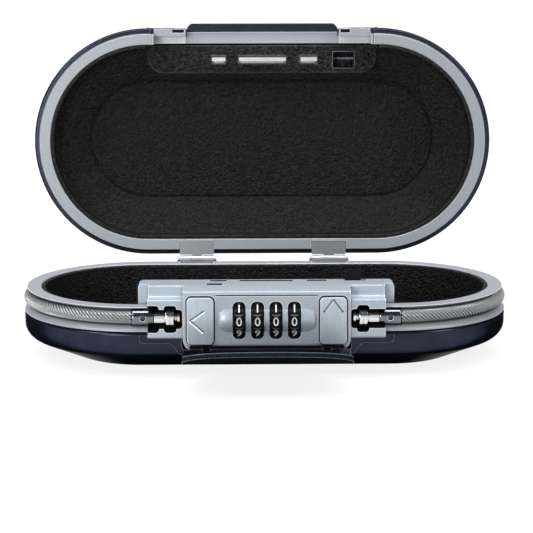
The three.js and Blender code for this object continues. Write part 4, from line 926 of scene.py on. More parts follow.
FOAM_SKIN = Finish(
    "black foam skin", (0.0062, 0.0061, 0.0059), (0.16, 0.16, 0.157), 0.42, 0.6, Surface.PEBBLE, 1.1, 0.7,
    specular=0.15, tone=0.7, fleck=1.8, edges=1.0, hollows=1.0)
LATCH_PLASTIC = Finish(
    "grained black plastic", (0.005, 0.005, 0.0053), (0.35, 0.35, 0.355), 0.34, 0.5, Surface.PEBBLE, 1.3, 0.9,
    specular=0.15, tone=0.9, fleck=5.0, edges=1.0)
SMOOTH_BLACK = Finish(
    "smooth black plastic", (0.0035, 0.0037, 0.0045), (0.015, 0.016, 0.018), 0.28, 0.4, Surface.PAINT, 0.5,
    0.01, specular=0.12)
# Painted shade: near-black zinc for the faces in the notches, the buttons' seats and the top's slots.
SHADED_ZINC = Finish(
    "zinc with painted shade", (0.010, 0.011, 0.013), (0.1, 0.11, 0.12), 0.4, 0.55, Surface.FLAKE, 0.3, 0.02,
    specular=0.2, tone=0.3)
COVER_BLACK = Finish(
    "matte cover plastic", (0.015, 0.0175, 0.024), (0.2, 0.225, 0.27), 0.38, 0.5, Surface.PEBBLE, 0.5, 0.06,
    specular=0.0, tone=0.5, fleck=0.4, edges=0.9, edge_coat=0.5)
# Painted shade: near black, for the inside of the cover's pan and for the lugs.
PAINTED_SHADE_BLACK = Finish(
    "painted shade black", (0.003, 0.0037, 0.0055), (0.012, 0.014, 0.018), 0.4, 0.55, Surface.PEBBLE,
    0.5, 0.06, specular=0.0, tone=0.5, fleck=0.4)
DIGIT_WHITE = Finish(
    "digit paint", (0.66, 0.67, 0.68), (0.9, 0.9, 0.9), 0.4, 0.55, Surface.PAINT, 0.4, 0.004, tone=0.06)
GRIP_GREY = Finish(
    "worn dial grip", (0.045, 0.045, 0.048), (0.12, 0.12, 0.12), 0.3, 0.42, Surface.PAINT, 0.4, 0.01)
CABLE_WIRE = Finish(
    "galvanised wire", (0.62, 0.635, 0.655), (0.95, 0.95, 0.96), 0.25, 0.38, Surface.FLAKE, 0.3, 0.006,
    metallic=0.4, tone=0.12, hollows=0.5)
CLEAR_VINYL = Finish(
    "clear vinyl sleeve", (0.8, 0.83, 0.85), (0.9, 0.9, 0.9), 0.06, 0.12, Surface.PAINT, 1.5, 0.004,
    specular=0.5, tone=0.03, alpha=0.04)


class Dresser:
    """Turns finished forms into pieces of the scene, and reports them."""

    def __init__(self, nodes: dict[str, bpy.types.Object]) -> None:
        """Takes the CAD nodes by name."""
        self.nodes = nodes
        self.groups = SurfaceGroups()
        self.materials: dict[str, bpy.types.Material] = {}

    def material(self, finish: Finish) -> bpy.types.Material:
        """Returns a finish's material, made at its first use."""
        if finish.name not in self.materials:
            self.materials[finish.name] = finish.build(self.groups)
        return self.materials[finish.name]

    def dress(self, form: Form, finish: Finish, body: str, replaces: Sequence[str] = (),
              inside: Finish | None = None) -> bpy.types.Object:
        """Puts a form into the scene.

        Args:
            form: The form, in millimetres.
            finish: Its finish.
            body: The body that it rides on.
            replaces: CAD nodes that it stands for.
            inside: The finish, with painted light or shade, of the faces that the form marks for it.

        Returns:
            The piece.
        """
        lift = Matrix.Translation((0, 0, HALF_HEIGHT))
        piece = form.obj
        piece.data.transform(Matrix.Scale(MM, 4) @ lift @ RESTING.get(body, FIXED).swing())
        piece.data.materials.clear()
        piece.data.materials.append(self.material(finish))
        # The marked faces take the second finish, which carries painted light or shade.
        if inside:
            piece.data.materials.append(self.material(inside))
            for face in piece.data.polygons:
                face.material_index = 1 if face.index in form.hollow_faces else 0
        merge_flat(piece.data)
        piece.data.shade_smooth()
        piece.data.set_sharp_from_angle(angle=math.radians(SHARP_ANGLE))
        even_shading(piece)
        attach(piece, str(body))
        if replaces:
            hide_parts(*replaces)
        log.info("%s: %d faces, on %s", piece.name, len(piece.data.polygons), body)
        return piece

    def keep(self, name: str, finish: Finish, width: float = 0.0) -> None:
        """Gives a CAD node a better finish and softer edges.

        Args:
            name: The node.
            finish: Its finish.
            width: Width of its rounded edges in millimetres, or none.
        """
        node = self.nodes[name]
        if width:
            add_rounding(node, width * MM, 2, SHARP_ANGLE)
            even_shading(node)
        node.data.materials.clear()
        node.data.materials.append(self.material(finish))
        log.info("%s: kept, in %s", name, finish.name)


@dataclass
class Shells:
    """The two painted shells with their cut-outs, the lid's boss and the bead lines."""

    base_edge: float = 7.0
    wing_floor: float = -9.6
    case_floor: float = -15.5
    cut_corner: float = 1.4
    lip_bottom: float = 10.3
    side_cut_depth: float = 4.9
    slots: tuple[Pair, ...] = ((-47.2, -41.0), (41.0, 46.0))
    slot_y: Pair = (-58.9, -57.2)
    slot_top: float = 14.5
    boss_proud: float = 2.2
    boss_thickness: float = 4.1
    boss_bottom: float = 16.0
    boss_shoulder: float = 19.0
    boss_top: float = 21.6
    boss_bevel: float = 2.0
    boss_corner: float = 1.6
    boss_edge: float = 0.5
    bead: float = 0.45
    bead_sides: int = 10
    bead_corner: float = 2.2
    base_bead: Pair = (9.6, 20.6)
    lid_bead: Pair = (12.6, 24.6)

    def make(self, dresser: Dresser) -> None:
        """Builds and dresses both shells and their bead lines."""
        for form, body, replaced in (
                (self.base(), Body.BASE, ["base_shell"]),
                (self.lid(), Body.LID, ["lid_shell"]),
                (self.bead_line("base_bead", self.base_bead, -1), Body.BASE, []),
                (self.bead_line("lid_bead", self.lid_bead, 1), Body.LID, [])):
            dresser.dress(form, SHELL_PAINT, body, replaced)

    def base(self) -> Form:
        """Returns the base shell, open above, with the lock's cut-out."""
        outside = rolled(CROWN.line(0, self.base_edge))
        inside = CROWN.line(SHELL_WALL, self.base_edge)
        cup = Form.pill("shell_of_base", below([*reversed(outside), *inside]))
        corners_of_cut = corner_radii(self.cut_corner, 0)
        cuts = []
        for half, floor in ((WING_ROOM, self.wing_floor), (CASE_ROOM, self.case_floor)):
            outline = rounded((-half, half), (floor, CLEAR), corners_of_cut)
            cuts.append(Form.along_y("cut", outline, (AHEAD, FRONT + RIM_WIDTH)))
        return cup.cut(*cuts)

    def lid(self) -> Form:
        """Returns the lid shell with its cut-out and the boss across its front."""
        inside = CROWN.line(SHELL_WALL, LID_SHELL_EDGE)
        outside = rolled(CROWN.line(0, LID_SHELL_EDGE))
        cup = Form.pill("shell_of_lid", [*reversed(inside), *outside])
        boss_edge = self.boss_bottom + BEZEL_WALL + FIT_GAP
        cuts = [
            Form.block("cut", (-half, half), (AHEAD, rear), (0, top))
            for half, rear, top in (
                (BEZEL_ROOM, FRONT + self.side_cut_depth, self.lip_bottom),
                (CASE_ROOM, FRONT + RIM_WIDTH, CASE_TOP + RUN_GAP),
                (CASE_HALF_WIDTH, FRONT + RIM_WIDTH, boss_edge))]
        slots = [Form.block("slot", x, self.slot_y, (0, self.slot_top)) for x in self.slots]
        return cup.cut(*cuts, *slots).join(self.boss(boss_edge))

    def boss(self, edge: float) -> Form:
        """Returns the thick strip that reaches over the lock case, its tongue down to a height."""
        outer = FRONT - self.boss_proud
        top = self.boss_top - SHELL_WALL / 2
        section = eased([
            (outer, self.boss_bottom),
            (outer + self.boss_thickness, self.boss_bottom),
            (outer + self.boss_thickness, edge),
            (FRONT + self.boss_thickness, self.boss_shoulder),
            (FRONT + 2 * self.boss_thickness, top),
            (FRONT + self.boss_thickness / 2, top),
            (outer, self.boss_shoulder),
        ], {6: self.boss_corner})
        half, bevel, far = CASE_HALF_WIDTH, self.boss_bevel, FRONT + CLEAR
        plan = [
            (half, outer + bevel), (half, far), (-half, far), (-half, outer + bevel), (-half + bevel, outer),
            (half - bevel, outer)]
        boss = Form.along_x("boss", section, (-half, half))
        return boss.within(Form.along_z("plan", plan, (0, HALF_HEIGHT))).softened(self.boss_edge, 3)

    def bead_line(self, name: str, heights: Pair, up: int) -> Form:
        """The thin raised line that frames the lock's cut-out and flares round the cover.

        Args:
            name: The piece's name.
            heights: How far its shoulder and its top are from the cable's plane.
            up: 1 on the lid, -1 on the base.

        Returns:
            The line, a fine tube lying on the shell.
        """
        low, high = heights
        half = [
            (60.2, 8.2), (60.2, low + 1.6), (58.8, low + 2.4), (46.0, low + 2.4), (43.6, low + 4.2),
            (42.4, high - 4.0), (38.5, high - 0.6), (33.0, high)]
        line = [*((-x, z) for x, z in half), *reversed(half)]
        line = eased(line, {i: self.bead_corner for i in range(1, len(line) - 1)}, 6)
        path = [Vector((x, FRONT + CROWN.front_at(z), up * z)) for x, z in line]
        return tube(name, path, self.bead, self.bead_sides)


def tube(name: str, path: Sequence[Vector], radius: float, sides: int) -> Form:
    """A round tube along a line.

    Args:
        name: Its name.
        path: The line.
        radius: Its radius.
        sides: Sides of its section.

    Returns:
        The tube.
    """
    rings = []
    for i, point in enumerate(path):
        ahead = heading(path, i)
        across = ahead.cross(Vector((0, 1, 0))).normalized()
        other = across.cross(ahead)
        rings.append([
            tuple(point + across * radius * math.cos(turn) + other * radius * math.sin(turn))
            for turn in even_turns(sides)])
    return Form.lofted(name, rings)


@dataclass
class Rims:
    """The two silver rims, and the groove that the cable lies in."""

    bottom: float = -6.7
    groove_radius: float = 3.75
    lip_inset: float = 1.3
    taper: float = 2.2
    tongue_depth: float = 2.8
    tongue: float = 1.5
    leaf_reach: float = 5.4
    leaf_thickness: float = 1.1
    hinge_x: float = 35.0
    hinge_half: float = 9.0
    edge: float = 0.4
    lid_edge: float = 0.3
    ferrule_room: float = 4.35

    def make(self, dresser: Dresser) -> None:
        """Builds and dresses both rims."""
        dresser.dress(self.base(), RIM_PAINT, Body.BASE, ["base_rim"])
        dresser.dress(self.lid(), RIM_PAINT, Body.LID, ["lid_rim"])

    def hinge_rooms(self, up: Pair) -> list[Form]:
        """Returns blocks that clear the hinge leaves, between two heights."""
        near = HALF_DEPTH - self.lip_inset - self.leaf_reach - FIT_GAP
        return [
            Form.block("hinge_room", grow(about(self.hinge_half, x), FIT_GAP), (near, HALF_DEPTH + 1), up)
            for x in (-self.hinge_x, self.hinge_x)]

    def base(self) -> Form:
        """Returns the base rim with its groove."""
        bottom, low, lip = self.bottom, self.bottom - self.tongue_depth, self.lip_inset
        foot = SHELL_WALL + FIT_GAP
        section = [
            (0.25, bottom), (0, bottom + 0.3), (0.05, bottom + 0.7), (0.3, bottom + 1.1),
            *arc((CABLE_INSET, 0), (self.groove_radius, self.groove_radius), -94, 94, 20),
            (lip, BASE_TOP - 0.35), (lip + 0.1, BASE_TOP - 0.1), (lip + 0.4, BASE_TOP),
            (RIM_WIDTH - self.edge, BASE_TOP), (RIM_WIDTH, BASE_TOP - self.edge),
            (RIM_WIDTH, bottom + self.taper), (RIM_WIDTH - self.taper, bottom),
            (foot + self.tongue, bottom), (foot + self.tongue, low), (foot, low), (foot, bottom),
        ]
        leaf_top = BASE_TOP - self.leaf_thickness - FIT_GAP
        return Form.pill("rim_of_base", section, True).cut(
            Form.block(
                "lock_room", about(WING_HALF_WIDTH + FIT_GAP), (AHEAD, FRONT + RIM_WIDTH + 1), about(CLEAR)),
            Form.bar("ferrule_room", about(FERRULE_END + 1), self.ferrule_room, (CABLE_Y, 0)),
            *self.hinge_rooms((leaf_top, CLEAR)))

    def lid(self) -> Form:
        """Returns the lid's flat rim."""
        top, outer = LID_SHELL_EDGE - FIT_GAP, SHELL_WALL + FIT_GAP / 2
        section = [
            (outer + self.lid_edge, LID_BOTTOM), (outer, LID_BOTTOM + self.lid_edge), (outer, top),
            (RIM_WIDTH, top), (RIM_WIDTH, LID_BOTTOM + self.edge), (RIM_WIDTH - self.edge, LID_BOTTOM),
        ]
        leaf_top = LID_BOTTOM + self.leaf_thickness + FIT_GAP
        return Form.pill("rim_of_lid", section, True).cut(
            Form.block("lock_room", about(BEZEL_ROOM), (AHEAD, FRONT + RIM_WIDTH + 1), (0, CLEAR)),
            *self.hinge_rooms((0, leaf_top)))


@dataclass
class Liners:
    """The two moulded foam liners: a lip, a wall, a slope and a flat floor, left bare."""

    wall: float = 2.6
    lip_width: float = 1.7
    lip_drop: float = 0.4
    wall_foot: float = 15.4
    draft: float = 0.4
    kink_inset: float = 1.0
    crease_half: float = 1.3
    crease_depth: float = 0.6
    behind: float = -36.6
    bulkhead: float = 2.2
    bulkhead_height: Pair = (-22.6, 11.8)
    lock_floor: float = -16.6
    ledge: float = 9.8
    under: float = -7.0
    taper: float = 2.2
    tuck: float = 1.8
    floor_reach: float = 12.0
    bezel_room: float = 19.0

    def make(self, dresser: Dresser) -> None:
        """Builds and dresses both liners."""
        base = dresser.dress(self.base(), FOAM_SKIN, Body.BASE, ["base_liner"])
        lid = dresser.dress(self.lid(), FOAM_SKIN, Body.LID, ["lid_liner"])

    @property
    def offset(self) -> float:
        """Where the liner's outside lies."""
        return SHELL_WALL + FIT_GAP

    @property
    def lip(self) -> float:
        """Inset of the lip's outer side."""
        return RIM_WIDTH + FIT_GAP

    @property
    def mouth(self) -> float:
        """Inset of the lip's inner side."""
        return self.lip + self.lip_width

    @property
    def floor_end(self) -> Pair:
        """Inset and height where the section of the floor ends."""
        return CROWN.flat_inset + self.floor_reach, HALF_HEIGHT - self.offset - self.wall

    def slope(self) -> list[Pair]:
        """Returns the inside from the foot of the wall over the pressed crease to the edge of the floor."""
        inside, half = self.offset + self.wall, self.crease_half
        radius = CROWN.corner - inside
        top = (CROWN.corner - radius * math.sin(CROWN.lean), CROWN.centre + radius * math.cos(CROWN.lean))
        foot = CROWN.flat(inside)
        kink = self.mouth + self.kink_inset
        share = (kink - top[0]) / (foot[0] - top[0])
        return [
            (self.mouth - self.draft, self.wall_foot), (kink, top[1] + share * (foot[1] - top[1])),
            (foot[0] - half, foot[1] - half * math.tan(CROWN.lean)), (foot[0], foot[1] + self.crease_depth),
            (foot[0] + half, foot[1])]

    def base(self) -> Form:
        """Returns the base liner with the bulkhead behind the lock."""
        tuck, top = self.offset + self.tuck, BASE_TOP - self.lip_drop
        inner = eased([
            (self.lip, self.under + self.taper), (self.lip, top), (self.mouth, top),
            *below([*self.slope(), self.floor_end]),
        ], {1: 0.6, 2: 0.8, 3: 3.0, 4: 3.0, 5: 0.8, 6: 0.4, 7: 0.8})
        cup = Form.pill("liner_of_base", [
            *below(reversed(CROWN.line(self.offset, self.ledge))), (tuck, -self.ledge), (tuck, self.under),
            (self.lip - self.taper, self.under), *inner])
        half = FLANGE_HALF + RUN_GAP
        wall = Form.block(
            "bulkhead", about(half + 1), (self.behind, self.behind + self.bulkhead), self.bulkhead_height)
        room = Form.block("lock_room", about(half), (AHEAD, self.behind), (self.lock_floor, CLEAR))
        return cup.join(wall.softened(0.7, 3)).cut(room)

    def lid(self) -> Form:
        """Returns the lid liner with room for the latch block."""
        edge, rear = LID_SHELL_EDGE + FIT_GAP, LatchBlock.rear + FIT_GAP
        inner = eased([
            self.floor_end, *reversed(self.slope()), (self.mouth, LID_BOTTOM), (self.lip, LID_BOTTOM),
            (self.lip, edge),
        ], {1: 0.8, 2: 0.4, 3: 0.8, 4: 3.0, 5: 3.0, 6: 0.8, 7: 0.6})
        cup = Form.pill("liner_of_lid", [*inner, *CROWN.line(self.offset, edge)])
        block = rounded(
            about(LatchBlock.half + FIT_GAP), (LatchBlock.front - FIT_GAP, rear),
            corner_radii(0, LatchBlock.corner + FIT_GAP))
        case_height, bezel_depth = (0, LatchBlock.face - FIT_GAP), (AHEAD, FRONT + RIM_WIDTH + 2 * FIT_GAP)
        return cup.cut(
            Form.block("case_room", about(FLANGE_HALF + RUN_GAP), (AHEAD, rear), case_height),
            Form.block("bezel_room", about(BEZEL_ROOM), bezel_depth, (0, self.bezel_room)),
            Form.along_z("block_room", block, (0, HALF_HEIGHT)))


@dataclass
class LatchBlock:
    """The grained block in the front of the lid, with windows for the strike's tabs."""

    half: float = 60.0
    face: float = 15.4
    front: float = -50.4
    rear: float = -36.0
    corner: float = 8.0
    edge: float = 1.2
    tab_y: float = -43.5
    tabs: tuple[Pair, ...] = ((-26.3, -19.5), (-12.2, 12.2), (20.0, 28.5))
    lever: Pair = (37.2, 48.5)
    lever_depth: Pair = (-46.9, -38.4)
    lever_top: float = 21.0
    inset: float = 3.2
    front_corner: float = 0.5
    tab_depth: Pair = (-45.0, -40.7)
    strip: Pair = (-29.6, 31.8)
    strip_half: float = 3.0
    strip_cover: float = 1.7
    bezel_lip: float = 9.6
    bezel_centre: float = 17.2
    bezel_step: float = FRONT + 2.2
    floor_height: float = 12.0

    def make(self, dresser: Dresser) -> None:
        """Builds and dresses the block and the bezel, and finishes the strike."""
        dresser.dress(self.block(), LATCH_PLASTIC, Body.LID, ["latch_block"])
        dresser.keep("strike_plate", STRIKE_STEEL, 0.15)
        # The side blocks' floors take painted light.
        bezel = self.bezel().hollow_where(self.on_floor)
        dresser.dress(bezel, RIM_PAINT, Body.LID, ["lid_bezel"], BEZEL_FLOOR_PAINTED_LIGHT)

    def on_floor(self, place: Vector, normal: Vector) -> bool:
        """Returns whether a face is the floor of a side block, which takes painted light."""
        return normal.z < -0.8 and abs(place.x) > CASE_HALF_WIDTH + 2 and place.z > self.floor_height

    def bezel(self) -> Form:
        """Returns the silver frame round the lock's place: a strip between two side blocks with end walls."""
        skin, rear = FRONT + SHELL_WALL + FIT_GAP, FRONT + RIM_WIDTH - FIT_GAP / 2
        inner, shelf = skin + BEZEL_WALL, self.face + BEZEL_WALL
        lip, centre, step = self.bezel_lip, self.bezel_centre, self.bezel_step
        corner = [(skin, lip), (inner, lip), (inner, self.face), (rear, self.face)]
        outlines = (
            ([*corner, (rear, shelf), (skin, shelf)], (CASE_ROOM, BEZEL_END)),
            ([*corner, (rear, centre), (skin, centre)], (CASE_ROOM, CASE_ROOM + BEZEL_WALL)),
            ([(skin, LID_BOTTOM), (rear, LID_BOTTOM), (rear, shelf), (skin, shelf)], (WING_ROOM, BEZEL_END)))
        fold = [
            (step, 16.0), (FRONT + 5.0, 16.7), (rear - 0.4, 16.0), (rear, 16.1), (rear, centre),
            (step, centre)]
        strip = Form.along_x("bezel_of_lid", fold, about(CASE_ROOM + BEZEL_WALL))
        ends = []
        for side in Side:
            ends += [Form.along_x("part", outline, side.span(*span)) for outline, span in outlines]
            ledge = side.span(CASE_ROOM, WING_ROOM)
            ends.append(Form.block("ledge", ledge, (FRONT + 0.15, skin + 0.2), (lip, lip + 0.6)))
        slots = [Form.block("slot", x, Shells.slot_y, (0, lip + 4)) for x in Shells.slots]
        return strip.join(*ends).cut(*slots).softened(0.2, 3, 40)

    def block(self) -> Form:
        """Returns the block."""
        outline = rounded(
            about(self.half), (self.front, self.rear), corner_radii(self.front_corner, self.corner), 12)
        raw = Form.along_z("block_of_latch", outline, (self.face, HALF_HEIGHT)).softened(self.edge, 4)
        raw.within(Form.pill("lid_core", [(self.inset, 0), *CROWN.line(self.inset, 1)]))
        strip = Form.block(
            "strip_room", self.strip, about(self.strip_half, self.tab_y),
            (self.face + self.strip_cover, HALF_HEIGHT))
        rooms = [
            Form.block("tab_room", grow(x, FIT_GAP), self.tab_depth, (0, HALF_HEIGHT)) for x in self.tabs]
        notch = Form.block("lever_room", self.lever, self.lever_depth, (0, self.lever_top))
        return raw.cut(strip, *rooms, notch)


@dataclass
class LockCase:
    """The cast case with its panel, wings, barrel, slots and notches."""

    wing_y: float = -62.0
    ledge_y: float = -54.6
    rear_y: float = -40.5
    panel_top: float = 13.5
    panel_bottom: float = -15.2
    wing_half_height: float = 9.3
    flange_y: float = -50.4
    edge: float = 1.0
    corner: float = 5.5
    barrel_radius: float = 9.1
    barrel_half: float = 23.6
    barrel_end: float = 6.0
    slot: Pair = (6.3, 18.2)
    slot_corner: float = 2.7
    lug_width: float = 3.2
    lug_radius: float = 1.8
    notch: float = 9.3
    pocket: float = 13.1
    collar_room: Pair = (42.6, 48.6)
    left_pocket: float = 5.3
    rounding: float = 0.3
    button_gap: float = 0.6
    seat_depth: float = 1.1
    crease_half: float = 24.2
    crease_depth: float = 0.7
    crease: Pair = (11.3, 11.9)
    stem_slots: tuple[tuple[Pair, Pair], ...] = (((29.3, 34.9), (-3.3, 6.3)), ((-36.9, -29.3), (-3.3, 3.3)))
    top_depth: float = 3.2
    tab_slot_y: Pair = (-44.7, -41.6)
    wide_slot: tuple[Pair, Pair] = ((-28.4, -21.0), (-53.6, -49.6))
    lever_slot: tuple[Pair, Pair] = ((37.5, 48.2), (-44.1, -41.5))
    wall: float = 2.2
    wing_room: float = FRONT + 10.3

    def make(self, dresser: Dresser) -> None:
        """Builds and dresses the case, and finishes the hidden pieces on it."""
        # The faces in the recesses take painted shade.
        case = self.case().hollow_where(self.in_recess)
        dresser.dress(case, CAST_ZINC, Body.BASE, ["lock_case"], SHADED_ZINC)
        screws = [f"back_plate_screw_{number}" for number in range(1, 5)]
        for name in ("lock_back_plate", "dial_shaft", "latch_bolt", "latch_spring", *screws):
            dresser.keep(name, PLAIN_STEEL)
        dresser.keep("cover_pin", SMOOTH_BLACK)
        dresser.keep("change_lever", SMOOTH_BLACK, 0.3)
        # The lugs take painted shade, near black.
        for side in Side:
            dresser.dress(self.lug(side), PAINTED_SHADE_BLACK, Body.BASE)

    def panel_outline(self) -> list[Pair]:
        """Returns the panel's section, in y and height."""
        front, r = PANEL_Y, self.edge
        return [
            (self.rear_y, self.panel_bottom), (self.rear_y, CASE_TOP), (self.ledge_y, CASE_TOP),
            *arc((front + r, self.panel_top - r), (r, r), 90, 180),
            *arc((front + r, self.panel_bottom + r), (r, r), 180, 270),
        ]

    def wing_outline(self) -> list[Pair]:
        """Returns the wings' section, in y and height."""
        front, half, r = self.wing_y, self.wing_half_height, self.edge
        return [
            (self.rear_y, -half), (self.rear_y, CASE_TOP),
            *arc((self.ledge_y + r, CASE_TOP - r), (r, r), 90, 180),
            *reversed(arc((self.ledge_y - 1.6, half + 1.6), (1.6, 1.6), 270, 360)),
            *arc((front + r, half - r), (r, r), 90, 180),
            *arc((front + r, -half + r), (r, r), 180, 270),
        ]

    def case(self) -> Form:
        """Returns the whole case."""
        panel = Form.along_x("case_of_lock", self.panel_outline(), about(CASE_HALF_WIDTH))
        face = rounded(
            about(CASE_HALF_WIDTH), (self.panel_bottom, CASE_TOP), corner_radii(self.corner, 0))
        flange = rounded(about(FLANGE_HALF), (-self.wing_half_height, CASE_TOP), corner_radii(1, 2))
        solid = panel.within(Form.along_y("face", face, (PANEL_Y - 1, self.rear_y))).join(
            Form.along_x("wings", self.wing_outline(), about(WING_HALF_WIDTH)),
            Form.along_y("flange", flange, (self.flange_y, self.rear_y)),
            self.barrel(),
        )
        solid.cut(
            *self.hollows(), *self.dial_slots(), *self.button_slots(), *self.top_slots(), *self.notches())
        return solid.softened(self.rounding, 2, 38)

    def barrel(self) -> Form:
        """Returns the long swelling round the dials, with domed ends."""
        foot = abs(PANEL_Y - DIAL_AXIS_Y) - 0.5
        dome = arc(
            (self.barrel_half - self.barrel_end, foot), (self.barrel_end, self.barrel_radius - foot), 0, 90)
        stations = [(-x, radius) for x, radius in dome] + list(reversed(dome))
        return Form.turned("barrel", stations, DIAL_AXIS, 96).within(Form.block(
            "slice", about(self.barrel_half + 1), (PANEL_Y - CLEAR, PANEL_Y + 2),
            about(self.slot[1] / 2, DIAL_HEIGHT)))

    def lug(self, side: Side) -> Form:
        """Returns one of the lugs that hold the cover's pin."""
        radius, foot = self.lug_radius, PANEL_Y + 1
        outline = [
            (foot, COVER_HINGE.height + radius),
            *arc((COVER_HINGE.y, COVER_HINGE.height), (radius, radius), 90, 270),
            (foot, self.panel_bottom + 0.5),
        ]
        span = about(self.lug_width / 2, side.value * COVER_LUG_X)
        return Form.along_x(f"cover_lug_{side.label}", outline, span)

    def hollows(self) -> list[Form]:
        """Returns the rooms inside the case, open to the rear."""
        rear, wall, top = self.rear_y + 1, self.wall, CASE_TOP - self.wall
        dial_height, wing_height = (self.panel_bottom + wall, top), (wall - self.wing_half_height, top)
        return [
            Form.block("dial_room", about(CASE_HALF_WIDTH - wall), (PANEL_Y + 2, rear), dial_height),
            Form.block("wing_room", about(WING_HALF_WIDTH + 0.8), (self.wing_room, rear), wing_height)]

    def dial_slots(self) -> list[Form]:
        """Returns the windows of the dials."""
        width, height = self.slot
        slots = []
        for x in dial_places():
            outline = rounded(about(width / 2, x), about(height / 2, DIAL_HEIGHT), alike(self.slot_corner))
            slots.append(Form.along_y("dial_slot", outline, (PANEL_Y - CLEAR, PANEL_Y + 3)))
        return slots

    def button_slots(self) -> list[Form]:
        """Returns the buttons' seats, the slots of their stems and the panel's crease."""
        front, gap = PANEL_Y - 1, self.button_gap
        up = grow(about(Buttons.height / 2, Buttons.centre_height), gap)
        seats = []
        for side in Side:
            across = grow(about(Buttons.width / 2, side.value * Buttons.centre_x), gap)
            outline = rounded(across, up, alike(Buttons.corner + gap))
            seats.append(Form.along_y("seat", outline, (front, PANEL_Y + self.seat_depth)))
        crease = Form.block(
            "crease", about(self.crease_half), (front, PANEL_Y + self.crease_depth), self.crease)
        slots = [Form.block("stem_slot", x, (front, PANEL_Y + 3), height) for x, height in self.stem_slots]
        return [*seats, crease, *slots]

    def top_slots(self) -> list[Form]:
        """Returns the slots in the case's top for the strike's tabs and the lever."""
        tabs = [(grow(x, RUN_GAP), self.tab_slot_y) for x in LatchBlock.tabs]
        places = [*tabs, self.wide_slot, self.lever_slot]
        return [Form.block("top_slot", x, y, (CASE_TOP - self.top_depth, CASE_TOP + 1)) for x, y in places]

    def recesses(self) -> list[tuple[Pair, Pair, Pair]]:
        """Returns what bounds the cable's notches, the panel's seats and the top's slots, whose faces take
        painted shade.

        Each is three spans, the first of them of the distance from the middle.
        """
        return [
            ((CASE_HALF_WIDTH + 0.1, WING_HALF_WIDTH - 0.1), (self.wing_y + 0.35, -46),
             about(self.pocket / 2 + 0.1)),
            ((-1, CASE_HALF_WIDTH - 0.8), (PANEL_Y + 0.25, PANEL_Y + 1.3), about(12.5)),
            ((-1, 50), (-54.2, -41), (CASE_TOP - 3.3, CASE_TOP - 0.35)),
        ]

    def in_recess(self, place: Vector, _: Vector) -> bool:
        """Returns whether a place lies in one of the recesses that take painted shade."""
        here = (abs(place.x), place.y, place.z)
        return any(all(low < part < high for part, (low, high) in zip(here, box)) for box in self.recesses())

    def notches(self) -> list[Form]:
        """Returns the notches that the cable's ends lie in, open to the front."""
        spans = [
            ((CASE_HALF_WIDTH + FIT_GAP, WING_HALF_WIDTH + 1), self.notch), (self.collar_room, self.pocket)]
        places = [(side.span(*span), size) for side in reversed(Side) for span, size in spans]
        places.append(((-WING_HALF_WIDTH - 1, -WING_HALF_WIDTH + self.left_pocket), self.pocket))
        rooms = []
        for span, size in places:
            mouth = rounded(span, about(size / 2), alike(min(1.6, (span[1] - span[0]) / 3)), 5)
            rooms += [
                Form.bar("notch", span, size / 2, (CABLE_Y, 0), 48),
                Form.along_y("mouth", mouth, (self.wing_y - 1, CABLE_Y + 1))]
        return rooms


def dial_places() -> list[float]:
    """Returns the dials' places along X."""
    return [(i - (DIAL_COUNT - 1) / 2) * DIAL_PITCH for i in range(DIAL_COUNT)]


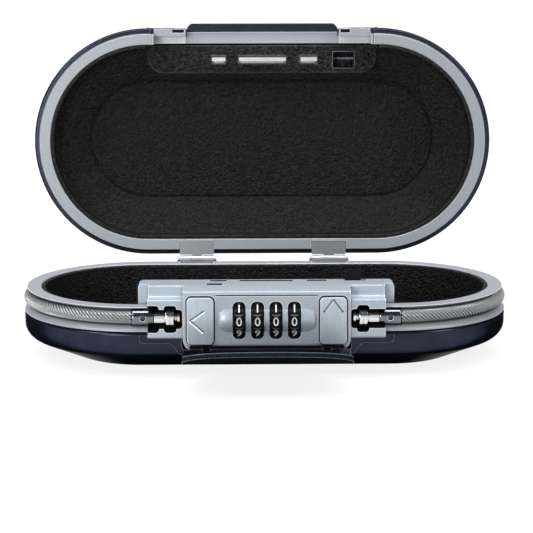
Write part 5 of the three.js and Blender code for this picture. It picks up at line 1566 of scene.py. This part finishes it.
@dataclass
class Dials:
    """The four number rings, each with its digits and code hub."""

    radius: float = 10.4
    width: float = 5.6
    grip_depth: float = 0.5
    faces: int = 10
    steps: int = 200
    hub_radius: float = 5.5
    bore_radius: float = 2.3
    edge: float = 0.35
    digit_height: float = 4.1
    digit_relief: float = 0.12
    digit_lift: float = 0.02
    grip_half: float = 2.1
    grip_sag: float = 0.7
    grip_thickness: float = 0.75
    grip_steps: int = 12
    grip_relief: Pair = (-0.1, 0.08)

    def make(self, dresser: Dresser) -> None:
        """Builds and dresses the rings and their digits."""
        for number, x in enumerate(dial_places(), 1):
            body = f"dial_{number}"
            dresser.dress(self.ring(f"ring_of_dial_{number}", x), SMOOTH_BLACK, body, [body])
            dresser.dress(self.digits(f"digits_of_dial_{number}", x), DIGIT_WHITE, body)
            dresser.dress(self.grips(f"grips_of_dial_{number}", x), GRIP_GREY, body)

    def surface(self, degrees: float) -> float:
        """Returns the ring's radius at an angle from its front digit."""
        return self.radius - self.grip_depth * abs(math.cos(math.radians(self.faces / 2 * degrees))) ** 3

    def spot(self, x: float, radius: float, degrees: float) -> Triple:
        """Returns a place about the dials' axis, at an angle upward from its front."""
        turn = math.radians(degrees)
        return x, DIAL_AXIS_Y - radius * math.cos(turn), DIAL_HEIGHT + radius * math.sin(turn)

    def ring(self, name: str, x: float) -> Form:
        """Returns one ring with its hub."""
        half, edge = self.width / 2, self.edge
        turns = [360 * step / self.steps for step in range(self.steps)]
        rings = [
            [self.spot(x + place, self.surface(turn) - drop, 180 - turn) for turn in turns]
            for place, drop in ((-half, edge), (edge - half, 0), (half - edge, 0), (half, edge))]
        hub = Form.bar("hub", about(DIAL_PITCH / 2 - FIT_GAP / 2, x), self.hub_radius, DIAL_AXIS)
        bore = Form.bar("bore", about(DIAL_PITCH, x), self.bore_radius, DIAL_AXIS)
        return Form.lofted(name, rings).join(hub).cut(bore)

    def grips(self, name: str, x: float) -> Form:
        """The bowed grips between the digits of one ring.

        Args:
            name: The piece's name.
            x: The ring's place.

        Returns:
            The grips as one form.
        """
        low, high = self.grip_relief
        bodies = []
        for face in range(self.faces):
            rings = []
            for step in range(self.grip_steps + 1):
                across = self.grip_half * (2 * step / self.grip_steps - 1)
                share = 1 - (across / self.grip_half) ** 2
                bow, half = self.grip_sag * (0.5 - share), self.grip_thickness * share / 2 + 0.1
                left, right = bow - half, bow + half
                ring = []
                for edge, out in ((left, low), (left, high), (right, high), (right, low)):
                    angle = (face + 0.5) * 360 / self.faces + math.degrees(edge / self.radius)
                    ring.append(self.spot(x + across, self.surface(angle) + out, angle))
                rings.append(ring)
            bodies.append(rings)
        return Form.lofts(name, bodies)

    def digits(self, name: str, x: float) -> Form:
        """The ten painted digits of one ring, with 0 at the front.

        Args:
            name: The piece's name.
            x: The ring's place.

        Returns:
            The digits as one form, wrapped round the ring.
        """
        points: list[Triple] = []
        faces: list[list[int]] = []
        for digit in range(self.faces):
            mesh = digit_mesh(str(digit), self.digit_height, self.digit_relief)
            start = len(points)
            for vertex in mesh.vertices:
                across, up, out = vertex.co
                angle = digit * 360 / self.faces + math.degrees(up / self.radius)
                points.append(self.spot(x + across, self.surface(angle) + out + self.digit_lift, angle))
            faces += [[start + i for i in face.vertices] for face in mesh.polygons]
            bpy.data.meshes.remove(mesh)
        return Form(name, points, faces)


def digit_mesh(text: str, height: float, relief: float) -> bpy.types.Mesh:
    """One digit as a thin plate.

    Args:
        text: The digit.
        height: Its height.
        relief: Its thickness.

    Returns:
        Its mesh, centred, facing +Z.
    """
    curve = bpy.data.curves.new("digit", "FONT")
    curve.body = text
    curve.size = height / DIGIT_SHARE
    curve.extrude = relief / 2
    curve.offset = 0.03
    curve.resolution_u = 4
    holder = placed("digit", curve)
    bpy.context.view_layer.update()
    mesh = bpy.data.meshes.new_from_object(holder.evaluated_get(bpy.context.evaluated_depsgraph_get()))
    bpy.data.objects.remove(holder)
    bpy.data.curves.remove(curve)
    middles = []
    for axis in (0, 1):
        places = [vertex.co[axis] for vertex in mesh.vertices]
        middles.append((min(places) + max(places)) / 2)
    mesh.transform(Matrix.Translation((-middles[0], -middles[1], 0)))
    return mesh


@dataclass
class Buttons:
    """The two sliding buttons, each with an arrow cut into its face."""

    width: float = 12.7
    height: float = 22.7
    thickness: float = 1.6
    centre_x: float = 31.4
    centre_height: float = -0.55
    corner: float = 2.2
    edge: float = 0.45
    stroke: float = 1.5
    depth: float = 0.7
    stem_half: Pair = (2.5, 3.0)
    foot_depth: Pair = (PANEL_Y + 2.3, PANEL_Y + 4.1)
    stroke_ahead: float = 0.3
    stroke_past: float = 0.2

    def make(self, dresser: Dresser) -> None:
        """Builds and dresses both buttons."""
        left = [(1.9, 5.0), (-4.7, 0.3), (1.5, -5.2)]
        right = [(-4.4, 4.3), (-0.1, 10.2), (4.3, 4.3)]
        for name, side, arrow, foot, body in (
                ("button_of_cable", Side.LEFT, left, (5.0, 9.0), Body.CABLE_BUTTON),
                ("button_of_lid", Side.RIGHT, right, (8.0, 6.0), Body.OPEN_BUTTON)):
            button = self.button(name, side.value * self.centre_x, arrow, foot)
            dresser.dress(button, BRUSHED_STEEL, body, [body.value])

    def button(self, name: str, x: float, arrow: Sequence[Pair], foot: Pair) -> Form:
        """One button.

        Args:
            name: The piece's name.
            x: Its middle.
            arrow: The arrow's line, from the button's middle.
            foot: Width and height of the foot that keeps it in.

        Returns:
            The button.
        """
        back = PANEL_Y - FIT_GAP
        front = back - self.thickness
        outline = rounded(
            about(self.width / 2, x), about(self.height / 2, self.centre_height), alike(self.corner))
        cap = Form.along_y(name, outline, (front, back)).softened(self.edge, 4)
        grooves = [self.groove(x, start, end, front) for start, end in zip(arrow, arrow[1:])]
        across, up = self.stem_half
        stem = Form.block("stem", about(across, x), (back - 0.2, PANEL_Y + 2.5), about(up))
        plate = Form.block("foot", about(foot[0] / 2, x), self.foot_depth, about(foot[1] / 2))
        return cap.cut(*grooves).join(stem, plate)

    def groove(self, x: float, start: Pair, end: Pair, front: float) -> Form:
        """Returns the cutter of one stroke of an arrow, a V in section."""
        a, b = (Vector((x + across, 0, self.centre_height + up)) for across, up in (start, end))
        along = (b - a).normalized()
        side = along.cross(Vector((0, 1, 0))) * self.stroke / 2 * (1 + self.stroke_ahead / self.depth)
        rings = []
        for point in (a - along * self.stroke_past, b + along * self.stroke_past):
            low = point + Vector((0, front + self.depth, 0))
            high = point + Vector((0, front - self.stroke_ahead, 0))
            rings.append([tuple(low), tuple(high - side), tuple(high + side)])
        return Form.lofted("stroke", rings).facing_out()


@dataclass
class CableEnds:
    """The plugs with their collars, and the ferrules with their set screws."""

    shaft: float = 3.6
    collar: float = 5.25
    ferrule: float = 4.0
    flutes: Pair = (-1.7, 0.6)
    flute_half: float = 0.45
    flute_depth: float = 0.5
    screw_x: float = 58.6
    screw_radius: float = 1.3

    def make(self, dresser: Dresser) -> None:
        """Builds and dresses both ends."""
        for side in Side:
            for form, finish, node in (
                    (self.plug(side), BRIGHT_NICKEL, "cable_plug"),
                    (self.sleeve(side), DARK_NICKEL, "ferrule")):
                dresser.dress(form, finish, Body.BASE, [f"{node}_{side.label}"])

    def laid(self, side: Side, stations: Sequence[Pair]) -> list[Pair]:
        """Returns stations drawn for the right end, turned to the left one when asked."""
        if side is Side.RIGHT:
            return list(stations)
        return [(-x, radius) for x, radius in reversed(stations)]

    def plug(self, side: Side) -> Form:
        """Returns one plug: a tip, a neck, a collar and a fluted shaft."""
        s, c = self.shaft, self.collar
        stations = [
            (40.4, s - 0.9), (40.7, s - 0.35), (41.2, s), (42.2, s), (42.5, s - 1), (43.6, s - 1),
            (43.6, c - 0.5), (43.9, c - 0.1), (44.2, c), (45.4, c), (45.55, c - 0.25), (45.95, c - 0.25),
            (46.1, c), (47.3, c), (47.7, c - 0.15), (47.9, c - 0.6), (47.9, s), (53.3, s)]
        body = Form.turned(f"plug_{side.label}", self.laid(side, stations), (CABLE_Y, 0))
        flutes = []
        for z in self.flutes:
            depth = (CABLE_Y - s - 1, CABLE_Y - math.sqrt(s**2 - z**2) + self.flute_depth)
            flutes.append(Form.block("flute", side.span(48.4, 54.5), depth, about(self.flute_half, z)))
        return body.cut(*flutes)

    def sleeve(self, side: Side) -> Form:
        """Returns one ferrule with its set screw's hole."""
        r = self.ferrule
        stations = [
            (53.6, r - 0.5), (53.75, r - 0.15), (54.1, r), (63.1, r), (63.45, r - 0.15), (63.6, r - 0.5)]
        body = Form.turned(f"ferrule_sleeve_{side.label}", self.laid(side, stations), (CABLE_Y, 0))
        hole = circle((side.value * self.screw_x, 0), self.screw_radius, 24)
        return body.cut(Form.along_y("hole", hole, (CABLE_Y - r - 1, CABLE_Y - r / 2)))


@dataclass
class Cable:
    """The twisted wires over a black core that is painted shade between them, and the clear sleeve, all round
    the groove.
    """

    radius: float = 3.4
    core: float = 2.25
    wire: float = 0.5
    wire_place: float = 2.6
    wires: int = 10
    lay: float = 19.0
    wire_sides: int = 8
    step: float = 0.9

    def make(self, dresser: Dresser) -> None:
        """Builds and dresses the wires, the black core of painted shade and the sleeve."""
        dresser.dress(self.strand(), CABLE_WIRE, Body.BASE, ["cable"])
        # The black core is painted shade, showing in the gaps between the wires.
        for name, finish, step, sides, reach in (
                ("cable_core", SMOOTH_BLACK, 3.0, 16, self.core),
                ("cable_sleeve", CLEAR_VINYL, 2.4, 24, self.radius)):
            form = Form.lofted(name, self.rings(step, sides, reach))
            dresser.dress(form, finish, Body.BASE)

    def spot(self, distance: float) -> tuple[Vector, Vector]:
        """Returns the place and the outward direction at a distance from the right end."""
        radius = HALF_DEPTH - CABLE_INSET
        turn = math.pi * radius
        back = 2 * END_CENTRE
        if distance < turn:
            angle, centre = distance / radius - math.pi / 2, END_CENTRE
        elif distance < turn + back:
            return Vector((END_CENTRE - (distance - turn), radius, 0)), Vector((0, 1, 0))
        else:
            angle, centre = (distance - turn - back) / radius + math.pi / 2, -END_CENTRE
        out = Vector((math.cos(angle), math.sin(angle), 0))
        return Vector((centre, 0, 0)) + out * radius, out

    def distances(self, step: float) -> list[float]:
        """Returns even distances along the route, from ferrule to ferrule."""
        start = FERRULE_END - END_CENTRE + FIT_GAP
        total = 2 * math.pi * (HALF_DEPTH - CABLE_INSET) + 2 * END_CENTRE - 2 * start
        count = round(total / step)
        return [start + total * i / count for i in range(count + 1)]

    def rings(self, step: float, sides: int, reach: float) -> list[list[Triple]]:
        """Round rings along the route.

        Args:
            step: Distance between them.
            sides: Points in each.
            reach: Their radius.

        Returns:
            The rings.
        """
        rings = []
        for distance in self.distances(step):
            place, out = self.spot(distance)
            rings.append([
                tuple(place + out * reach * math.cos(turn) + Vector((0, 0, reach * math.sin(turn))))
                for turn in even_turns(sides)])
        return rings

    def strand(self) -> Form:
        """Returns the wires, each a round tube wound about the route."""
        spots = [(distance, *self.spot(distance)) for distance in self.distances(self.step)]
        bodies = []
        for wire in range(self.wires):
            path, aways = [], []
            for distance, place, out in spots:
                turn = 2 * math.pi * (wire / self.wires - distance / self.lay)
                aways.append(out * math.cos(turn) + Vector((0, 0, math.sin(turn))))
                path.append(place + aways[-1] * self.wire_place)
            rings = []
            for i, (point, away) in enumerate(zip(path, aways)):
                across = heading(path, i).cross(away).normalized()
                rings.append([
                    tuple(point + (away * math.cos(turn) + across * math.sin(turn)) * self.wire)
                    for turn in even_turns(self.wire_sides)])
            bodies.append(rings)
        return Form.lofts("cable_strand", bodies)


@dataclass
class FrontCover:
    """The bowed pan that folds up over the dials."""

    half: float = 39.5
    wall: float = 1.4
    face: float = -69.6
    top_face: float = -65.8
    top: float = 21.3
    crease_high: float = 8.7
    crease_low: float = -7.3
    bow: float = 1.0
    corner: Pair = (16.0, 7.5)
    low_corner: float = 3.0
    rim_width: float = 3.0
    rim_height: float = 1.0
    barrel: float = 1.8
    lug_half: float = 1.6
    bore: float = 1.1
    steps: int = 48

    def make(self, dresser: Dresser) -> None:
        """Builds and dresses the cover."""
        # The pan's inside takes painted shade.
        cover = self.cover().hollow_where(self.in_pan)
        dresser.dress(cover, COVER_BLACK, Body.COVER, ["front_cover"], PAINTED_SHADE_BLACK)

    def in_pan(self, place: Vector, normal: Vector) -> bool:
        """Returns whether a face lies on the pan's inside, which takes painted shade."""
        drawn_in = self.rim_width + 0.05
        return normal.y > 0.3 and abs(place.x) < self.half - drawn_in and place.z < self.top - drawn_in

    def sheet(self, name: str, wall: float) -> Form:
        """Returns the folded sheet before its corners are cut."""
        axis_y, axis_z, r = COVER_HINGE.y, COVER_HINGE.height, self.barrel
        section = eased([
            (axis_y, axis_z), (axis_y, axis_z + r), (self.face + wall, self.crease_low),
            (self.face + wall, self.crease_high), (self.top_face + wall, self.top), (self.top_face, self.top),
            (self.face, self.crease_high), (self.face, self.crease_low), (axis_y - r, axis_z - 0.6),
            (axis_y - 0.6, axis_z - r),
        ], {2: 1.5, 3: 1.5, 6: 2.5, 7: 2.5}, 5)
        foot = axis_z + r
        rings = []
        for step in range(self.steps + 1):
            x = self.half * (2 * step / self.steps - 1)
            bow = self.bow * (1 - (x / self.half) ** 2)
            rings.append([
                (x, y + bow * min(max((z - foot) / (self.crease_high - foot), 0), 1), z) for y, z in section])
        return Form.lofted(name, rings).facing_out()

    def outline(self, name: str, by: float) -> Form:
        """Returns the cover's outline as a block, drawn in by so much and then open below."""
        low, high = (self.low_corner, self.low_corner), (self.corner[0] - by, self.corner[1] - by)
        bottom = COVER_HINGE.height - self.barrel - (CLEAR if by else 0)
        face = rounded(about(self.half - by), (bottom, self.top - by), [low, low, high, high], 14)
        return Form.along_y(name, face, (AHEAD, FRONT))

    def cover(self) -> Form:
        """Returns the whole cover."""
        axis_y, axis_z, r = COVER_HINGE.y, COVER_HINGE.height, self.barrel
        rim = self.sheet("rim", self.wall + self.rim_height).within(self.outline("edge", 0)).cut(
            self.outline("pan", self.rim_width),
            Form.block("under", about(self.half + 10.5), (AHEAD, FRONT), (axis_z - CLEAR, self.crease_low)))
        spaces = [
            Form.block(
                "lug_room", about(self.lug_half + FIT_GAP, x), (axis_y - r - RUN_GAP, axis_y + r + 1),
                (axis_z - r - 1, axis_z + r + RUN_GAP))
            for x in (-COVER_LUG_X, COVER_LUG_X)]
        bar = Form.bar("bar", about(self.half - 3), r, (axis_y, axis_z), 32)
        bore = Form.bar("bore", about(self.half + 1), self.bore, (axis_y, axis_z), 24)
        sheet = self.sheet("pan_of_cover", self.wall).within(self.outline("edge", 0))
        return sheet.join(rim, bar).cut(*spaces, bore).softened(0.35, 2, 40)


@dataclass
class Hinges:
    """The two lid hinges at the back."""

    rounding: float = 0.15

    def make(self, dresser: Dresser) -> None:
        """Finishes the leaves and pins."""
        for side in Side:
            for name in ("base_hinge_leaf", "lid_hinge_leaf", "hinge_pin"):
                dresser.keep(f"{name}_{side.label}", PLAIN_STEEL, self.rounding)


@dataclass(frozen=True)
class Lamp:
    """A soft lamp, in metres and watts."""

    name: str
    place: Triple
    aim: Triple
    size: Pair
    power: float

    def hang(self) -> None:
        """Puts the lamp into the scene."""
        data = bpy.data.lights.new(self.name, "AREA")
        data.shape = "RECTANGLE"
        data.size, data.size_y = self.size
        data.energy = self.power
        lamp = placed(self.name, data)
        lamp.location = self.place
        lamp.rotation_euler = (Vector(self.aim) - Vector(self.place)).to_track_quat("-Z", "Y").to_euler()


LAMPS = (
    Lamp("left softbox", (-0.7, -0.45, 0.8), (0, 0, 0.05), (0.35, 0.5), 4.0),
    Lamp("right softbox", (0.75, -0.4, 0.7), (0, 0, 0.05), (0.3, 0.45), 3.4),
    Lamp("top softbox", (0.0, -0.1, 1.0), (0, 0, 0.03), (1.2, 0.25), 9.5),
    Lamp("front softbox", (-0.45, -0.85, 0.2), (0, 0, 0.05), (0.3, 0.4), 4.2),
)


@dataclass
class Studio:
    """The camera, the floor and the lights."""

    focal_pixels: float = 2034.6
    distance: float = 1021.3
    elevation: float = 11.58
    azimuth: float = -0.87
    roll: float = -0.0014
    aim: Triple = (0.0, 0.0, 30.0)
    aim_pixel: Pair = (264.7, 291.6)
    sensor: float = 36.0
    floor_half: float = 8.0
    ambient: float = 0.2
    ceiling: float = 0.1
    horizon: Pair = (0.12, 0.4)
    floor_grey: float = 0.24
    floor_glow: Pair = (0.84, 1.0)
    glow_spread: Pair = (0.14, 0.5)

    def make(self) -> None:
        """Sets everything up."""
        self.camera()
        self.floor()
        self.world()
        for lamp in LAMPS:
            lamp.hang()

    def camera(self) -> None:
        """Places the camera at the photograph's view."""
        data = bpy.data.cameras.new("camera")
        data.sensor_width = self.sensor
        data.lens = self.focal_pixels / FRAME_PIXELS * self.sensor
        middle = FRAME_PIXELS / 2
        data.shift_x = (middle - self.aim_pixel[0]) / FRAME_PIXELS
        data.shift_y = (self.aim_pixel[1] - middle) / FRAME_PIXELS
        data.clip_end = 50
        camera = placed("camera", data)
        tilt = math.radians(self.elevation)
        back = Vector((0, -math.cos(tilt), math.sin(tilt))) * self.distance
        aim = Matrix.Translation(Vector(self.aim) * MM) @ Matrix.Rotation(math.radians(self.azimuth), 4, "Z")
        turn = Matrix.Rotation(math.pi / 2 - tilt, 4, "X") @ Matrix.Rotation(self.roll, 4, "Z")
        camera.matrix_world = aim @ Matrix.Translation(back * MM) @ turn
        bpy.context.scene.camera = camera

    def seen(self, wires: Wiring) -> bpy.types.NodeSocket:
        """Returns 1 for the rays that show the background: the camera's, off metal and through glass."""
        path = wires.node("ShaderNodeLightPath")
        first = wires.math("MAXIMUM", path.outputs["Is Camera Ray"], path.outputs["Is Glossy Ray"])
        return wires.math("MAXIMUM", first, path.outputs["Is Transmission Ray"])

    def floor(self) -> None:
        """Lays the pale floor."""
        half = self.floor_half
        mesh = bpy.data.meshes.new("floor")
        outline = [(-half, -half, 0), (half, -half, 0), (half, half, 0), (-half, half, 0)]
        mesh.from_pydata(outline, [], [(0, 1, 2, 3)])
        floor = placed("floor", mesh)
        material = bpy.data.materials.new("pale floor")
        material.use_nodes = True
        wires = Wiring(material.node_tree)
        material.node_tree.nodes.remove(material.node_tree.nodes["Principled BSDF"])
        grey = self.floor_grey
        matte = wires.node("ShaderNodeBsdfDiffuse", {"Color": (grey, grey, grey, 1)})
        place = wires.node("ShaderNodeTexCoord").outputs["Object"]
        away = wires.node("ShaderNodeVectorMath", {"0": place}, operation="LENGTH").outputs["Value"]
        faded = wires.ranged(away, *self.floor_glow, self.glow_spread)
        strength = wires.math("MULTIPLY", self.seen(wires), faded)
        glow = wires.node("ShaderNodeEmission", {"Color": (1, 1, 1, 1), "Strength": strength})
        both = wires.node("ShaderNodeAddShader", {"0": matte.outputs[0], "1": glow.outputs[0]})
        wires.fill(material.node_tree.nodes["Material Output"], {"Surface": both.outputs[0]})
        mesh.materials.append(material)
        floor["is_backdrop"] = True

    def world(self) -> None:
        """Makes the surroundings: white where they are seen, and dimmer as light."""
        world = bpy.data.worlds.new("studio")
        bpy.context.scene.world = world
        world.use_nodes = True
        wires = Wiring(world.node_tree)
        place = wires.node("ShaderNodeTexCoord").outputs["Generated"]
        height = wires.node("ShaderNodeSeparateXYZ", {"Vector": place}).outputs["Z"]
        shade = wires.ranged(height, 1.0, self.ceiling, self.horizon)
        strength = wires.ranged(self.seen(wires), self.ambient, shade)
        wires.fill(world.node_tree.nodes["Background"], {"Color": (1, 1, 1, 1), "Strength": strength})


def corners(bounds: Sequence[Vector]) -> list[list[float]]:
    """Returns a box's two corners as plain lists."""
    return [[float(part) for part in corner] for corner in bounds]


def main() -> None:
    """Builds the dressed safe and its studio."""
    logging.basicConfig(level=logging.INFO, format="%(message)s")
    bpy.context.scene.view_settings.view_transform = "Standard"
    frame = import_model()
    before = corners(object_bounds())
    Studio().make()
    dresser = Dresser(frame["nodes"])
    for part in (
            Shells(), Rims(), Liners(), LatchBlock(), LockCase(), Dials(), Buttons(), CableEnds(), Cable(),
            FrontCover(), Hinges()):
        part.make(dresser)
    {"cad": before, "visual": corners(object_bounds())}


if __name__ == "__main__":
    main()
